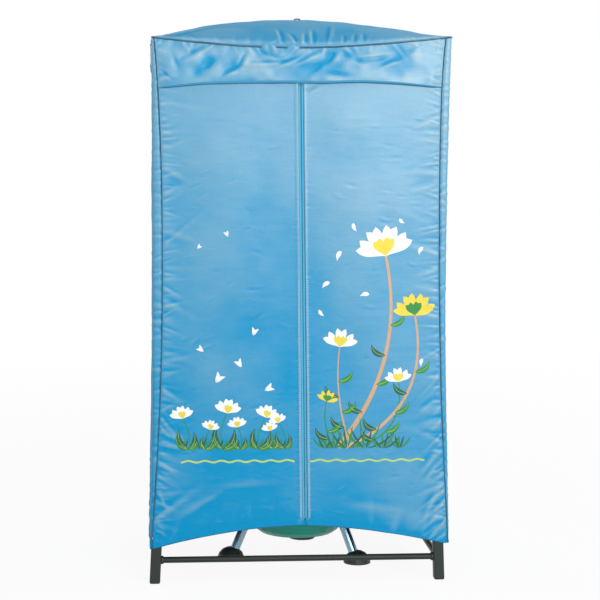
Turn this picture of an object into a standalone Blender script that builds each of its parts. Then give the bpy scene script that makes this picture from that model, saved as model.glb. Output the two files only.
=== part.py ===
"""Portable electric clothes dryer: a fabric wardrobe cover on a tube frame, over a warm-air blower.

Metres, +Z up, front towards -Y, origin on the floor at the middle of the object.
"""
import math

import bmesh
import bpy
from mathutils import Matrix, Vector

# Frame sizes
SPAN_X = 0.725              # post axis to post axis, left to right
SPAN_Y = 0.500              # post axis to post axis, front to back
TUBE_WALL = 0.0010          # wall of every steel tube
POST_D = 0.0160             # upright tube
RAIL_D = 0.0165             # black base rail
TOP_RAIL_D = 0.0160         # tube round the top
ROD_D = 0.0160              # clothes rod
FIT = 0.0003                # gap between pieces that touch
OVERRUN = 0.004             # how far a cutter runs past the face it opens
TUBE_SIDES = 12

FOOT_W = 0.0270             # square moulded foot
FOOT_H = 0.1120
FOOT_ROUND = 0.0040         # rounding of its edges
FOOT_SPLAY = 0.0050         # lower end stands this much further out
FOOT_SEAT_Z = 0.0780        # height at which the post stands in the foot
RAIL_Z = 0.0600             # axis of the base rails

CORNER_W = 0.0230           # three-way top corner piece
CORNER_H = 0.0600
CORNER_ROUND = 0.0030
TOP_RAIL_DROP = 0.0310      # top of the corner piece to the axis of the top rails
POST_ENTRY = 0.0180         # post inside the corner piece
DOME_CLEAR = 0.0018         # cover above the corner pieces

ROD_COUNT = 3
ROD_PITCH = 0.1500
ROD_NOTCH = 0.0040          # depth of the notch that sits on the side rail
ROD_OVERHANG = 0.0070       # rod beyond the axis of the side rail

# Cover sizes
CLOTH_T = 0.0015
COVER_GAP = 0.0015          # foot to the inner face of the cover
FRONT_Y = SPAN_Y / 2 + FOOT_W / 2 + COVER_GAP + CLOTH_T    # outer face, front and back
HEM_Z = 0.0920              # lower edge at the corners
HEM_RISE = 0.0500           # how much the front hem arches up in the middle
HEM_POWER = 1.9
SIDE_HEM_RISE = 0.0120
TOP_Z = 1.3860              # top seam at the corners
SEAM_SAG = 0.0260           # front seam hangs down in the middle
SIDE_SAG = 0.0120
DOME_RISE = 0.0545          # top panel swells above its corners
DOME_CORNER_SHARES = (0.006, 0.008)
DOME_CORNER_POWER = 10

SEAM_IN = 0.0015            # corner seam inside the outer face of the feet, at the hem
SEAM_LEAN = 0.0080          # and this much further in at the top
SEAM_X_HEM = SPAN_X / 2 + FOOT_W / 2 - SEAM_IN
SEAM_X_TOP = SEAM_X_HEM - SEAM_LEAN
SEAM_DRAW = 0.0196          # how far the seam is drawn in half way up
SEAM_CORNER = 0.0040        # seam runs out again right under the top corner
SEAM_CORNER_POWER = 24
SIDE_X = SPAN_X / 2 + POST_D / 2 + COVER_GAP + CLOTH_T     # outer face over the posts
SIDE_FLARE_HEM = 0.0080
SIDE_FLARE_TOP = 0.0027
SIDE_FLARE_POWER = 3
SIDE_BELLY = 0.0050
SIDE_ROUND_SHARE = 0.5      # exponent of the rounded corner, square when small
SIDE_FLAT_SHARE = 0.4       # share of the steps on the flat part
TOP_X = SIDE_X + SIDE_FLARE_TOP + FIT

PIPING_R = 0.0020           # cord in the corner seams
SEAM_GAP = 0.0005           # cloth edge to the cord
PIPING_OUT = PIPING_R + SEAM_GAP
PIPING_BEND = 0.0060        # corner of the cord under the top corners
EDGE_DROP = CLOTH_T + 3 * FIT             # top panel to what lies under its edge

VALANCE_H = 0.1290          # front flap at its ends
VALANCE_Z = TOP_Z - VALANCE_H
VALANCE_RISE = 0.0140
VALANCE_OUT = 0.0040        # its face in front of the doors
VALANCE_FLAT_H = 0.0630     # above this it leans back to the seam
VALANCE_BLEND_Z = VALANCE_Z + VALANCE_FLAT_H
VALANCE_BLEND = 0.0300
VALANCE_FOLD = 0.0016
VALANCE_FOLDS = 9
VALANCE_FOLD_REACH = 1.15   # folds end a little under the top seam
DOOR_TOP_GAP = 0.0010
DOOR_BELLY = 0.0060
DOOR_BELLY_POWER = 0.7
DOOR_FOLD = 0.0012          # low folds that lie aslant over the door
DOOR_FOLDS = (3, 5)         # across and up
DOOR_FOLD_FADE = 6          # they fade out under the flap

# Zip sizes
ZIP_X_TOP = -0.0040         # the zip line leans a little, as in the photograph
ZIP_X_HEM = 0.0160
ZIP_Z_HEM = 0.1660
ZIP_OPEN = 0.0114           # between the two door edges
TAPE_T = 0.0008
TAPE_UNDER = 0.0060         # tape behind the door edge
TEETH_GAP = 0.0016
SLIDER_W = 0.0080
SLIDER_H = 0.0120
SLIDER_T = 0.0010
SLIDER_WEB = 0.0008
SLIDER_WEB_H = 0.0045
SLIDER_RUN = 0.0004
SLIDER_REST = 0.0350        # slider above the end of the zip, behind the flap
HEAD_TAPE_L = 0.0800
PULL_W = 0.0065
PULL_L = 0.0220
PULL_T = 0.0008
PULL_CLEAR = 0.0008         # pull in front of the door face
PULL_PIN_R = 0.0012
PULL_HOLE_R = 0.0016

LOOP_W = 0.0180             # small flat loop on the crown of the top
LOOP_D = 0.0070
LOOP_T = 0.0018

# Blower sizes
BLOWER_X = 0.0220
BLOWER_Y = 0.0430
BLOWER_TURN = math.radians(-10)
BLOWER_SIDES = 24
SHELL_T = 0.0025
BOWL_Z = 0.0660             # underside of the bowl
BOWL_R = 0.1500             # rim
BOWL_TOP = 0.1500
BOWL_R_SHARES = (1.0, 1.0, 0.965, 0.90, 0.785, 0.685, 0.53)    # of BOWL_R, rim to intake
BOWL_Z_SHARES = (1.0, 0.90, 0.70, 0.44, 0.14, 0.0, 0.0)        # of the bowl's height
CAP_H = 0.0550
CAP_R_SHARES = (0.745, 0.86, 0.94, 0.985, 1.0, 1.0)            # of BOWL_R, outlet to rim
CAP_Z_SHARES = (1.0, 0.97, 0.80, 0.50, 0.15, 0.0)              # of CAP_H
GRILLE_T = 0.0030
GRILLE_FIT = 0.0006
GRILLE_HUB = 0.0240
GRILLE_RIM = 0.0080
GRILLE_SLOTS = 12
GRILLE_SLOT_W = 0.0060

MOTOR_R = 0.0300
MOTOR_H = 0.0450
MOTOR_Z = 0.1120
SHAFT_R = 0.0040
SHAFT_IN = 0.0120           # shaft inside the motor
SHAFT_RUN = 0.0004
HUB_R = 0.0140
HUB_H = 0.0180
HUB_GAP = 0.0080            # hub under the motor
BLADES = 6
BLADE_R = 0.0700
BLADE_W = 0.0300
BLADE_T = 0.0020
BLADE_PITCH = math.radians(28)
BRACKET_Z = 0.1400
BRACKET_H = 0.0050
BRACKET_RING = 0.0060
BRACKET_ARM = 0.0120

HEATER_X = 0.1200           # outside of the heater frame
HEATER_Y = 0.0900
HEATER_Z = 0.1640
HEATER_H = 0.0260
HEATER_WALL = 0.0040
HEATER_EAR_W = 0.0200
HEATER_EAR_T = 0.0040
FIN_COUNT = 7
FIN_GAP = 0.0050
FIN_DEPTH = 0.0070

PANEL_W = 0.1100
PANEL_D = 0.0340            # panel face in front of the rim
PANEL_Z = 0.1440
PANEL_H = 0.0500
PANEL_WALL = 0.0030
PANEL_ROUND = 0.0030
PANEL_BACK = 0.0150         # panel box behind the rim before it is fitted to the shell
KNOB_R = 0.0160
KNOB_H = 0.0140
KNOB_GRIP_W = 0.0050
KNOB_GRIP_H = 0.0040
KNOB_X = -0.0280
SPINDLE_R = 0.0030
SPINDLE_IN = 0.0100
SPINDLE_RUN = 0.0004
TIMER_R = 0.0150
TIMER_D = 0.0160
KNOB_GAP = 0.0006
SWITCH_X = 0.0120
SWITCH_W = 0.0120
SWITCH_H = 0.0180
SWITCH_D = 0.0060
SWITCH_PROUD = 0.0030
SWITCH_CLEAR = 0.0009
LAMP_X = 0.0360
LAMP_R = 0.0030
LAMP_H = 0.0060
LAMP_PROUD = 0.0015
GLAND_R = 0.0070
GLAND_L = 0.0160
GLAND_BORE_R = 0.0035
GLAND_BORE = 0.0100
GLAND_Z = 0.1680

LEG_D = 0.0250
LEG_SIDES = 16
LEG_OUT = 0.0400            # feet of the two front legs outside the rim of the bowl
LEG_OUT_BACK = 0.0300
LEG_REACH = BOWL_R + LEG_OUT
LEG_REACH_BACK = BOWL_R + LEG_OUT_BACK
LEG_SPREAD = math.radians(64)
LEG_LEAN = 0.45             # metres inward for each metre up
LEG_LOW = 0.0140
LEG_TOP = BOWL_TOP - 0.0180
DOME_R = 0.0365
DOME_H = 0.0330
DOME_R_SHARES = (0.0, 0.34, 0.64, 0.87, 0.98, 1.0)
DOME_Z_SHARES = (1.0, 0.95, 0.78, 0.50, 0.18, 0.0)

CLOTH_STEPS = {"door": (10, 22), "side": (10, 20), "back": (12, 20), "top": (14, 10),
               "valance": (24, 5)}
LOOP_Y = -FRONT_Y * 2 / CLOTH_STEPS["top"][1]      # one row of the top panel in front of it

PARTS = "portable_clothes_dryer"
CUTTERS = "dryer_cutters"


# Scene helpers
def start():
    for obj in list(bpy.data.objects):
        bpy.data.objects.remove(obj, do_unlink=True)
    for name in (PARTS, CUTTERS):
        group = bpy.data.collections.get(name) or bpy.data.collections.new(name)
        if group.name not in bpy.context.scene.collection.children:
            bpy.context.scene.collection.children.link(group)


def material(name, colour, roughness, metallic=0.0):
    mat = bpy.data.materials.get(name) or bpy.data.materials.new(name)
    mat.use_nodes = True
    shader = mat.node_tree.nodes["Principled BSDF"]
    shader.inputs["Base Color"].default_value = (*colour, 1.0)
    shader.inputs["Roughness"].default_value = roughness
    shader.inputs["Metallic"].default_value = metallic
    mat.diffuse_color = (*colour, 1.0)
    return mat


def place(obj, mat=None, cutter=False, parent=None, at=(0, 0, 0), turn=(0, 0, 0), smooth=None):
    """Link the object, give it its material and its place."""
    bpy.data.collections[CUTTERS if cutter else PARTS].objects.link(obj)
    obj.location = at
    obj.rotation_euler = turn
    obj.parent = parent
    if cutter:
        obj.hide_render = True
        obj.display_type = 'WIRE'
    if mat is not None:
        obj.data.materials.append(mat)
    if smooth is not None:
        obj.data.shade_smooth()
        obj.data.set_sharp_from_angle(angle=smooth)
    return obj


def empty(name, at, turn=(0, 0, 0)):
    obj = bpy.data.objects.new(name, None)
    bpy.data.collections[PARTS].objects.link(obj)
    obj.location = at
    obj.rotation_euler = turn
    return obj


def to_mesh(name, bm):
    mesh = bpy.data.meshes.new(name)
    bm.to_mesh(mesh)
    bm.free()
    return bpy.data.objects.new(name, mesh)


def box_shape(bm, size, centre=(0, 0, 0), turn=0.0):
    move = Matrix.Rotation(turn, 4, 'Z') @ Matrix.Translation(centre) @ Matrix.Diagonal((*size, 1))
    bmesh.ops.create_cube(bm, size=1, matrix=move)


def box(name, size, centre=(0, 0, 0), **where):
    bm = bmesh.new()
    box_shape(bm, size, centre)
    return place(to_mesh(name, bm), **where)


def cylinder(name, radius, length, sides, centre=(0, 0, 0), axis='Z', **where):
    """A closed cylinder about one of its own axes, centred on the given point."""
    turn = {'Z': Matrix(), 'X': Matrix.Rotation(math.pi / 2, 4, 'Y'),
            'Y': Matrix.Rotation(math.pi / 2, 4, 'X')}[axis]
    bm = bmesh.new()
    bmesh.ops.create_cone(bm, cap_ends=True, segments=sides, radius1=radius, radius2=radius,
                          depth=length, matrix=Matrix.Translation(centre) @ turn)
    return place(to_mesh(name, bm), smooth=math.radians(40), **where)


def tube(name, outer, length, sides=TUBE_SIDES, axis='Z', **where):
    """An open pipe with a real wall, centred on its own middle."""
    turn = {'Z': Matrix(), 'X': Matrix.Rotation(math.pi / 2, 4, 'Y'),
            'Y': Matrix.Rotation(math.pi / 2, 4, 'X')}[axis]
    bm = bmesh.new()
    bmesh.ops.create_cone(bm, cap_ends=False, segments=sides, radius1=outer / 2,
                          radius2=outer / 2, depth=length, matrix=turn)
    obj = place(to_mesh(name, bm), smooth=math.radians(40), **where)
    shell(obj, TUBE_WALL)
    return obj


def shell(obj, thickness):
    mod = obj.modifiers.new("wall", 'SOLIDIFY')
    mod.thickness = thickness
    mod.offset = -1
    mod.use_even_offset = True


def round_edges(obj, width, segments=2, angle=math.radians(50)):
    mod = obj.modifiers.new("edges", 'BEVEL')
    mod.width = width
    mod.segments = segments
    mod.limit_method = 'ANGLE'
    mod.angle_limit = angle


def turned(name, profile, steps, **where):
    """A profile of (radius, height) pairs, outer side running down, turned round Z."""
    bm = bmesh.new()
    points = [bm.verts.new((r, 0, z)) for r, z in profile]
    for a, b in zip(points, points[1:]):
        bm.edges.new((a, b))
    obj = place(to_mesh(name, bm), **where)
    mod = obj.modifiers.new("turn", 'SCREW')
    mod.steps = mod.render_steps = steps
    mod.use_merge_vertices = True
    mod.merge_threshold = 0.0001
    mod.use_smooth_shade = True
    return obj


def cut(obj, cutter, operation='DIFFERENCE'):
    mod = obj.modifiers.new(operation.lower(), 'BOOLEAN')
    mod.operation = operation
    mod.object = cutter
    mod.solver = 'EXACT'


def skin(name, point, steps, out, mat, origin=(0, 0, 0)):
    """Cloth: a grid laid over point(u, v), thickened inwards; u and v run from 0 to 1."""
    bm = bmesh.new()
    bmesh.ops.create_grid(bm, x_segments=steps[0], y_segments=steps[1], size=1)
    start_at = Vector(origin)
    for vert in bm.verts:
        vert.co = Vector(point((vert.co.x + 1) / 2, (vert.co.y + 1) / 2)) - start_at
    bm.normal_update()
    if sum(face.normal.dot(Vector(out)) for face in bm.faces) < 0:
        bmesh.ops.reverse_faces(bm, faces=bm.faces[:])
    obj = place(to_mesh(name, bm), mat=mat, at=origin, smooth=math.radians(60))
    shell(obj, CLOTH_T)
    return obj


def cord(name, points, radius, mat):
    """A round cord through the given points, with closed ends."""
    curve = bpy.data.curves.new(name, 'CURVE')
    curve.dimensions = '3D'
    curve.bevel_depth = radius
    curve.bevel_resolution = 1
    curve.use_fill_caps = True
    spline = curve.splines.new('POLY')
    spline.points.add(len(points) - 1)
    for spot, co in zip(spline.points, points):
        spot.co = (*co, 1)
    return place(bpy.data.objects.new(name, curve), mat=mat)


# Cover surfaces
def lerp(a, b, t):
    return a + (b - a) * t


def clamp(t):
    return min(max(t, 0.0), 1.0)


def ease(t):
    t = clamp(t)
    return t * t * (3 - 2 * t)


def height_share(z):
    return clamp((z - HEM_Z) / (TOP_Z - HEM_Z))


def seam_x(z):
    """Distance of the corner seam from the middle plane at a height."""
    s = height_share(z)
    return (lerp(SEAM_X_HEM, SEAM_X_TOP, s) - SEAM_DRAW * math.sin(math.pi * s)
            + SEAM_CORNER * s ** SEAM_CORNER_POWER)


def side_x(z):
    s = height_share(z)
    return SIDE_X + SIDE_FLARE_HEM * (1 - s) ** SIDE_FLARE_POWER + SIDE_FLARE_TOP * s ** 2


def hem_z(x):
    return HEM_Z + HEM_RISE * (1 - clamp(abs(x) / SEAM_X_HEM) ** HEM_POWER)


def valance_z(x):
    return VALANCE_Z + VALANCE_RISE * (1 - clamp(abs(x) / SEAM_X_TOP) ** 2)


def dome_z(x, y):
    """Outer face of the top panel."""
    a = 1 - clamp(abs(x) / TOP_X) ** 2
    b = 1 - clamp(abs(y) / FRONT_Y) ** 2
    return TOP_Z - SEAM_SAG * a * (1 - b) - SIDE_SAG * b * (1 - a) + DOME_RISE * a * b


def zip_x(z):
    return lerp(ZIP_X_HEM, ZIP_X_TOP, (z - ZIP_Z_HEM) / (ZIP_Z_TOP - ZIP_Z_HEM))


ZIP_Z_TOP = valance_z(0) - DOOR_TOP_GAP - SEAM_GAP
PIPING_Z_DROP = EDGE_DROP + PIPING_R      # top panel's edge to the axis of the cord
UNDER_CORD = PIPING_Z_DROP + PIPING_R + SEAM_GAP
PIPING_Y = FRONT_Y - CLOTH_T / 2
HINGE_X = SEAM_X_HEM + PIPING_OUT
CORNER_TOP = (min(dome_z(SPAN_X / 2 + i * CORNER_W / 2, SPAN_Y / 2 + j * CORNER_W / 2)
                  for i in (-1, 1) for j in (-1, 1)) - CLOTH_T - DOME_CLEAR)
TOP_RAIL_Z = CORNER_TOP - TOP_RAIL_DROP


def door_point(side):
    def point(u, v):
        z = lerp(HEM_Z, VALANCE_Z, v)
        for _ in range(4):
            x = lerp(side * seam_x(z), zip_x(z) + side * ZIP_OPEN / 2, u)
            z = lerp(hem_z(x), valance_z(x) - DOOR_TOP_GAP, v)
        hold = math.sin(math.pi * u) ** 2
        belly = DOOR_BELLY * hold * math.sin(math.pi * v) ** DOOR_BELLY_POWER if 0 < v < 1 else 0.0
        slant = DOOR_FOLDS[0] * u + DOOR_FOLDS[1] * v
        fold = DOOR_FOLD * hold * math.sin(math.pi * slant) * ease(DOOR_FOLD_FADE * (1 - v))
        return x, -(FRONT_Y + belly + fold), z
    return point


def door_swell():
    """How far the doors swell in front of their edges; the back swells as far."""
    across, up = CLOTH_STEPS["door"]
    return max(-door_point(side)(i / across, j / up)[1] - FRONT_Y
               for side in (-1, 1) for i in range(across + 1) for j in range(up + 1))


def back_point(u, v):
    z = lerp(HEM_Z, TOP_Z, v)
    for _ in range(4):
        x = (2 * u - 1) * seam_x(z)
        z = lerp(hem_z(x), dome_z(x, FRONT_Y) - UNDER_CORD, v)
    hold = math.sin(math.pi * u) ** 2 * math.sin(math.pi * v)
    return x, FRONT_Y + BACK_SWELL * hold, z


def valance_point(u, v):
    z = lerp(VALANCE_Z, TOP_Z, v)
    for _ in range(4):
        x = (2 * u - 1) * (seam_x(z) - 2 * SEAM_GAP)
        z = lerp(valance_z(x), dome_z(x, FRONT_Y) - UNDER_CORD, v)
    out = VALANCE_OUT * (1 - ease((z - VALANCE_BLEND_Z) / VALANCE_BLEND))
    spread = (2 * u - 1) * (1 + (1 - v))
    fold = 0.5 - 0.5 * math.cos(math.pi * VALANCE_FOLDS * spread)
    hold = math.sin(math.pi * u) * math.sin(math.pi * clamp(v * VALANCE_FOLD_REACH))
    return x, -(FRONT_Y + out + VALANCE_FOLD * fold * max(hold, 0.0)), z


def side_point(side):
    def point(u, v):
        along = 2 * u - 1
        flat = SIDE_FLAT_SHARE
        if abs(along) <= flat:
            turn = math.pi / 2
            y = along / flat * SPAN_Y / 2
        else:
            turn = math.pi / 2 * (1 - (abs(along) - flat) / (1 - flat))
            reach = max(math.cos(turn), 0.0) ** SIDE_ROUND_SHARE
            y = math.copysign(lerp(SPAN_Y / 2, FRONT_Y, reach), along)
        share = clamp(abs(y) / FRONT_Y) ** 2
        z = lerp(HEM_Z + SIDE_HEM_RISE * (1 - share), dome_z(TOP_X, y) - EDGE_DROP, v)
        start_x = seam_x(z) + 2 * PIPING_OUT
        full_x = max(side_x(z), start_x + CLOTH_T)
        belly = SIDE_BELLY * (1 - share) * math.sin(math.pi * v)
        x = lerp(start_x, full_x, max(math.sin(turn), 0.0) ** SIDE_ROUND_SHARE) + belly
        return side * x, y, z
    return point


def top_point(u, v):
    a, b = 2 * u - 1, 2 * v - 1
    corner = abs(a * b) ** DOME_CORNER_POWER
    x = TOP_X * a * (1 - DOME_CORNER_SHARES[0] * corner)
    y = FRONT_Y * b * (1 - DOME_CORNER_SHARES[1] * corner)
    return x, y, dome_z(TOP_X * a, FRONT_Y * b)


def piping_points(face):
    """Up one corner seam, along the sagging top seam and down the other."""
    top = dome_z(TOP_X, FRONT_Y) - PIPING_Z_DROP
    corner_x = seam_x(TOP_Z) + PIPING_OUT
    rise = 14
    run = 16
    left = []
    for i in range(rise + 1):
        s = 1 - (1 - i / rise) ** 2
        z = lerp(HEM_Z, top - PIPING_BEND, s)
        left.append((-(seam_x(z) + PIPING_OUT), face * PIPING_Y, z))
    bend = math.sin(math.pi / 4)
    left.append((-(corner_x - PIPING_BEND * (1 - bend)), face * PIPING_Y,
                 top - PIPING_BEND * (1 - bend)))
    over = []
    for i in range(run + 1):
        x = lerp(-(corner_x - PIPING_BEND), corner_x - PIPING_BEND, i / run)
        over.append((x, face * PIPING_Y, dome_z(x, FRONT_Y) - PIPING_Z_DROP))
    right = [(-x, y, z) for x, y, z in reversed(left)]
    return left + over + right


BACK_SWELL = door_swell()


# Frame
def make_frame(mats):
    half_x, half_y = SPAN_X / 2, SPAN_Y / 2
    post_low = FOOT_SEAT_Z
    post_high = CORNER_TOP - CORNER_H + POST_ENTRY
    rail_end = RAIL_D / 2 + 2 * FIT                 # end of a rail from the post axis
    top_end = TOP_RAIL_D / 2 + 2 * FIT
    for yname, ysign in (("front", -1), ("back", 1)):
        for xname, xsign in (("left", -1), ("right", 1)):
            label = f"{yname}_{xname}"
            at = (xsign * half_x, ysign * half_y, 0)

            foot = box(f"foot_{label}", (FOOT_W, FOOT_W, FOOT_H), (0, 0, FOOT_H / 2),
                       mat=mats["black"], at=at)
            for vert in foot.data.vertices:
                vert.co.x += xsign * FOOT_SPLAY * (1 - vert.co.z / FOOT_H)
            round_edges(foot, FOOT_ROUND)
            foot.data.shade_flat()
            depth = FOOT_H - post_low + OVERRUN
            cut(foot, cylinder(f"cut_foot_post_{label}", POST_D / 2 + FIT, depth + FIT, TUBE_SIDES,
                               (0, 0, post_low - FIT + (depth + FIT) / 2), cutter=True, at=at))
            reach = FOOT_W / 2 + FOOT_SPLAY + OVERRUN - rail_end
            for axis, sign in (('X', -xsign), ('Y', -ysign)):
                mid = sign * (rail_end - FIT + (reach + FIT) / 2)
                centre = (mid, 0, RAIL_Z) if axis == 'X' else (0, mid, RAIL_Z)
                cut(foot, cylinder(f"cut_foot_rail_{axis.lower()}_{label}", RAIL_D / 2 + FIT,
                                   reach + FIT, TUBE_SIDES, centre, axis, cutter=True, at=at))

            tube(f"post_{label}", POST_D, post_high - post_low, mat=mats["steel"],
                 at=(at[0], at[1], (post_high + post_low) / 2))

            block = box(f"top_corner_{label}", (CORNER_W, CORNER_W, CORNER_H),
                        mat=mats["black"], at=(at[0], at[1], CORNER_TOP - CORNER_H / 2))
            round_edges(block, CORNER_ROUND)
            low = CORNER_TOP - CORNER_H
            depth = POST_ENTRY + OVERRUN
            cut(block, cylinder(f"cut_corner_post_{label}", POST_D / 2 + FIT, depth + FIT,
                                TUBE_SIDES, (0, 0, low - OVERRUN + (depth + FIT) / 2),
                                cutter=True, at=at))
            reach = CORNER_W / 2 + OVERRUN - top_end
            for axis, sign in (('X', -xsign), ('Y', -ysign)):
                mid = sign * (top_end - FIT + (reach + FIT) / 2)
                centre = (mid, 0, TOP_RAIL_Z) if axis == 'X' else (0, mid, TOP_RAIL_Z)
                cut(block, cylinder(f"cut_corner_rail_{axis.lower()}_{label}",
                                    TOP_RAIL_D / 2 + FIT, reach + FIT, TUBE_SIDES, centre, axis,
                                    cutter=True, at=at))

    long_x, long_y = SPAN_X - 2 * rail_end, SPAN_Y - 2 * rail_end
    for name, sign in (("front", -1), ("back", 1)):
        tube(f"base_rail_{name}", RAIL_D, long_x, axis='X', mat=mats["black_steel"],
             at=(0, sign * half_y, RAIL_Z))
        tube(f"top_rail_{name}", TOP_RAIL_D, SPAN_X - 2 * top_end, axis='X', mat=mats["steel"],
             at=(0, sign * half_y, TOP_RAIL_Z))
    for name, sign in (("left", -1), ("right", 1)):
        tube(f"base_rail_{name}", RAIL_D, long_y, axis='Y', mat=mats["black_steel"],
             at=(sign * half_x, 0, RAIL_Z))
        tube(f"top_rail_{name}", TOP_RAIL_D, SPAN_Y - 2 * top_end, axis='Y', mat=mats["steel"],
             at=(sign * half_x, 0, TOP_RAIL_Z))

    rod_z = TOP_RAIL_Z + TOP_RAIL_D / 2 + ROD_D / 2 - ROD_NOTCH
    saddles = []
    for name, sign in (("left", -1), ("right", 1)):
        saddles.append(cylinder(f"cut_rod_{name}", TOP_RAIL_D / 2 + FIT,
                                ROD_PITCH * ROD_COUNT, TUBE_SIDES, axis='Y', cutter=True,
                                at=(sign * half_x, 0, TOP_RAIL_Z)))
    for i in range(ROD_COUNT):
        rod = tube(f"clothes_rod_{i + 1}", ROD_D, SPAN_X + 2 * ROD_OVERHANG, axis='X',
                   mat=mats["steel"], at=(0, (i - (ROD_COUNT - 1) / 2) * ROD_PITCH, rod_z))
        for saddle in saddles:
            cut(rod, saddle)


# Cover
def make_cover(mats):
    cloth = mats["cloth"]
    skin("cover_back", back_point, CLOTH_STEPS["back"], (0, 1, 0), cloth)
    skin("cover_left", side_point(-1), CLOTH_STEPS["side"], (-1, 0, 0), cloth)
    skin("cover_right", side_point(1), CLOTH_STEPS["side"], (1, 0, 0), cloth)
    skin("cover_top", top_point, CLOTH_STEPS["top"], (0, 0, 1), cloth)
    skin("front_valance", valance_point, CLOTH_STEPS["valance"], (0, -1, 0), cloth)
    for name, side in (("left", -1), ("right", 1)):
        skin(f"door_{name}", door_point(side), CLOTH_STEPS["door"], (0, -1, 0), cloth,
             origin=(side * HINGE_X, -PIPING_Y, 0))
    cord("piping_front", piping_points(-1), PIPING_R, mats["piping"])
    cord("piping_back", piping_points(1), PIPING_R, mats["piping"])
    box("top_loop", (LOOP_W, LOOP_D, LOOP_T), mat=mats["piping"],
        at=(0, LOOP_Y, dome_z(0, LOOP_Y) + LOOP_T / 2 + 1.5 * FIT),
        turn=(2 * (DOME_RISE + SEAM_SAG) / FRONT_Y ** 2 * -LOOP_Y, 0, 0))
    make_zip(mats)


def make_zip(mats):
    """Tapes on the door edges, the end piece behind the flap, the slider and its pull."""
    rise = ZIP_Z_TOP - ZIP_Z_HEM
    lean = math.atan2(ZIP_X_TOP - ZIP_X_HEM, rise)
    length = math.hypot(ZIP_X_TOP - ZIP_X_HEM, rise)
    tape_front = FRONT_Y - CLOTH_T - FIT
    tape_y = -(tape_front - TAPE_T / 2)
    tape_w = ZIP_OPEN / 2 + TAPE_UNDER - TEETH_GAP / 2
    middle = Vector(((ZIP_X_TOP + ZIP_X_HEM) / 2, tape_y, (ZIP_Z_TOP + ZIP_Z_HEM) / 2))
    for name, side in (("left", -1), ("right", 1)):
        box(f"zip_tape_{name}", (tape_w, TAPE_T, length),
            (side * (TEETH_GAP + tape_w) / 2, 0, 0), mat=mats["zip"], at=middle,
            turn=(0, lean, 0))

    along = Vector((math.sin(lean), 0, math.cos(lean)))
    end = Vector((ZIP_X_TOP, tape_y, ZIP_Z_TOP))
    head = box("zip_head_tape", (TEETH_GAP + 2 * tape_w, TAPE_T, HEAD_TAPE_L),
               (0, 0, HEAD_TAPE_L / 2), mat=mats["zip"], at=end + along * SEAM_GAP,
               turn=(0, lean, 0))
    slot_l = SLIDER_REST + SLIDER_H / 2 + OVERRUN
    cut(head, box("cut_head_tape", (TEETH_GAP, TAPE_T + OVERRUN, slot_l),
                  (0, 0, slot_l / 2 - OVERRUN), cutter=True, at=end + along * SEAM_GAP,
                  turn=(0, lean, 0)))

    rest = end + along * SLIDER_REST
    plate = TAPE_T / 2 + SLIDER_RUN + SLIDER_T / 2
    slider = box("zip_slider", (SLIDER_W, SLIDER_T, SLIDER_H), (0, -plate, 0),
                 mat=mats["dark_metal"], at=rest, turn=(0, lean, 0))
    cut(slider, box("join_slider_back", (SLIDER_W, SLIDER_T, SLIDER_H), (0, plate, 0),
                    cutter=True, at=rest, turn=(0, lean, 0)), 'UNION')
    cut(slider, box("join_slider_web", (SLIDER_WEB, 2 * plate, SLIDER_WEB_H),
                    (0, 0, SLIDER_H / 2 - SLIDER_WEB_H / 2 - SEAM_GAP), cutter=True, at=rest,
                    turn=(0, lean, 0)), 'UNION')
    pull_y = -(FRONT_Y + PULL_CLEAR + PULL_T / 2)
    pin_z = SLIDER_H / 2 - 2 * PULL_PIN_R
    pin_end = pull_y - PULL_T / 2 - FIT - tape_y
    pin_l = -pin_end - plate
    cut(slider, cylinder("join_slider_pin", PULL_PIN_R, pin_l, 10,
                         (0, -plate - pin_l / 2, pin_z), 'Y', cutter=True, at=rest,
                         turn=(0, lean, 0)), 'UNION')
    pin = rest + along * pin_z
    pull = box("zip_pull", (PULL_W, PULL_T, PULL_L), (0, 0, PULL_W / 2 - PULL_L / 2),
               mat=mats["dark_metal"], at=(pin.x, pull_y, pin.z))
    cut(pull, cylinder("cut_pull_hole", PULL_HOLE_R, PULL_T + OVERRUN, 12, axis='Y', cutter=True,
                       at=(pin.x, pull_y, pin.z)))


# Blower
def shares(radii, heights, radius, low, height):
    return [(r * radius, low + z * height) for r, z in zip(radii, heights)]


def wall_reach(profile, z, width):
    """How far a bar of this width reaches inside a turned shell at a height."""
    radius = BOWL_R
    for (r1, z1), (r0, z0) in zip(profile, profile[1:]):
        if z0 <= z <= z1 and z1 > z0:
            radius = lerp(r0, r1, (z - z0) / (z1 - z0))
    inner = radius * math.cos(math.pi / BLOWER_SIDES) - SHELL_T - FIT
    return math.sqrt(inner ** 2 - (width / 2) ** 2)


def grille(name, radius, low, mats, hub):
    disc = cylinder(name, radius, GRILLE_T, BLOWER_SIDES, (0, 0, low + GRILLE_T / 2),
                    mat=mats["black"], parent=hub)
    bm = bmesh.new()
    length = radius - GRILLE_RIM - GRILLE_HUB
    for i in range(GRILLE_SLOTS):
        box_shape(bm, (length, GRILLE_SLOT_W, GRILLE_T + 2 * OVERRUN),
                  (GRILLE_HUB + length / 2, 0, low + GRILLE_T / 2),
                  2 * math.pi * i / GRILLE_SLOTS)
    cut(disc, place(to_mesh(f"cut_{name}", bm), cutter=True, parent=hub))
    return disc


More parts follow.
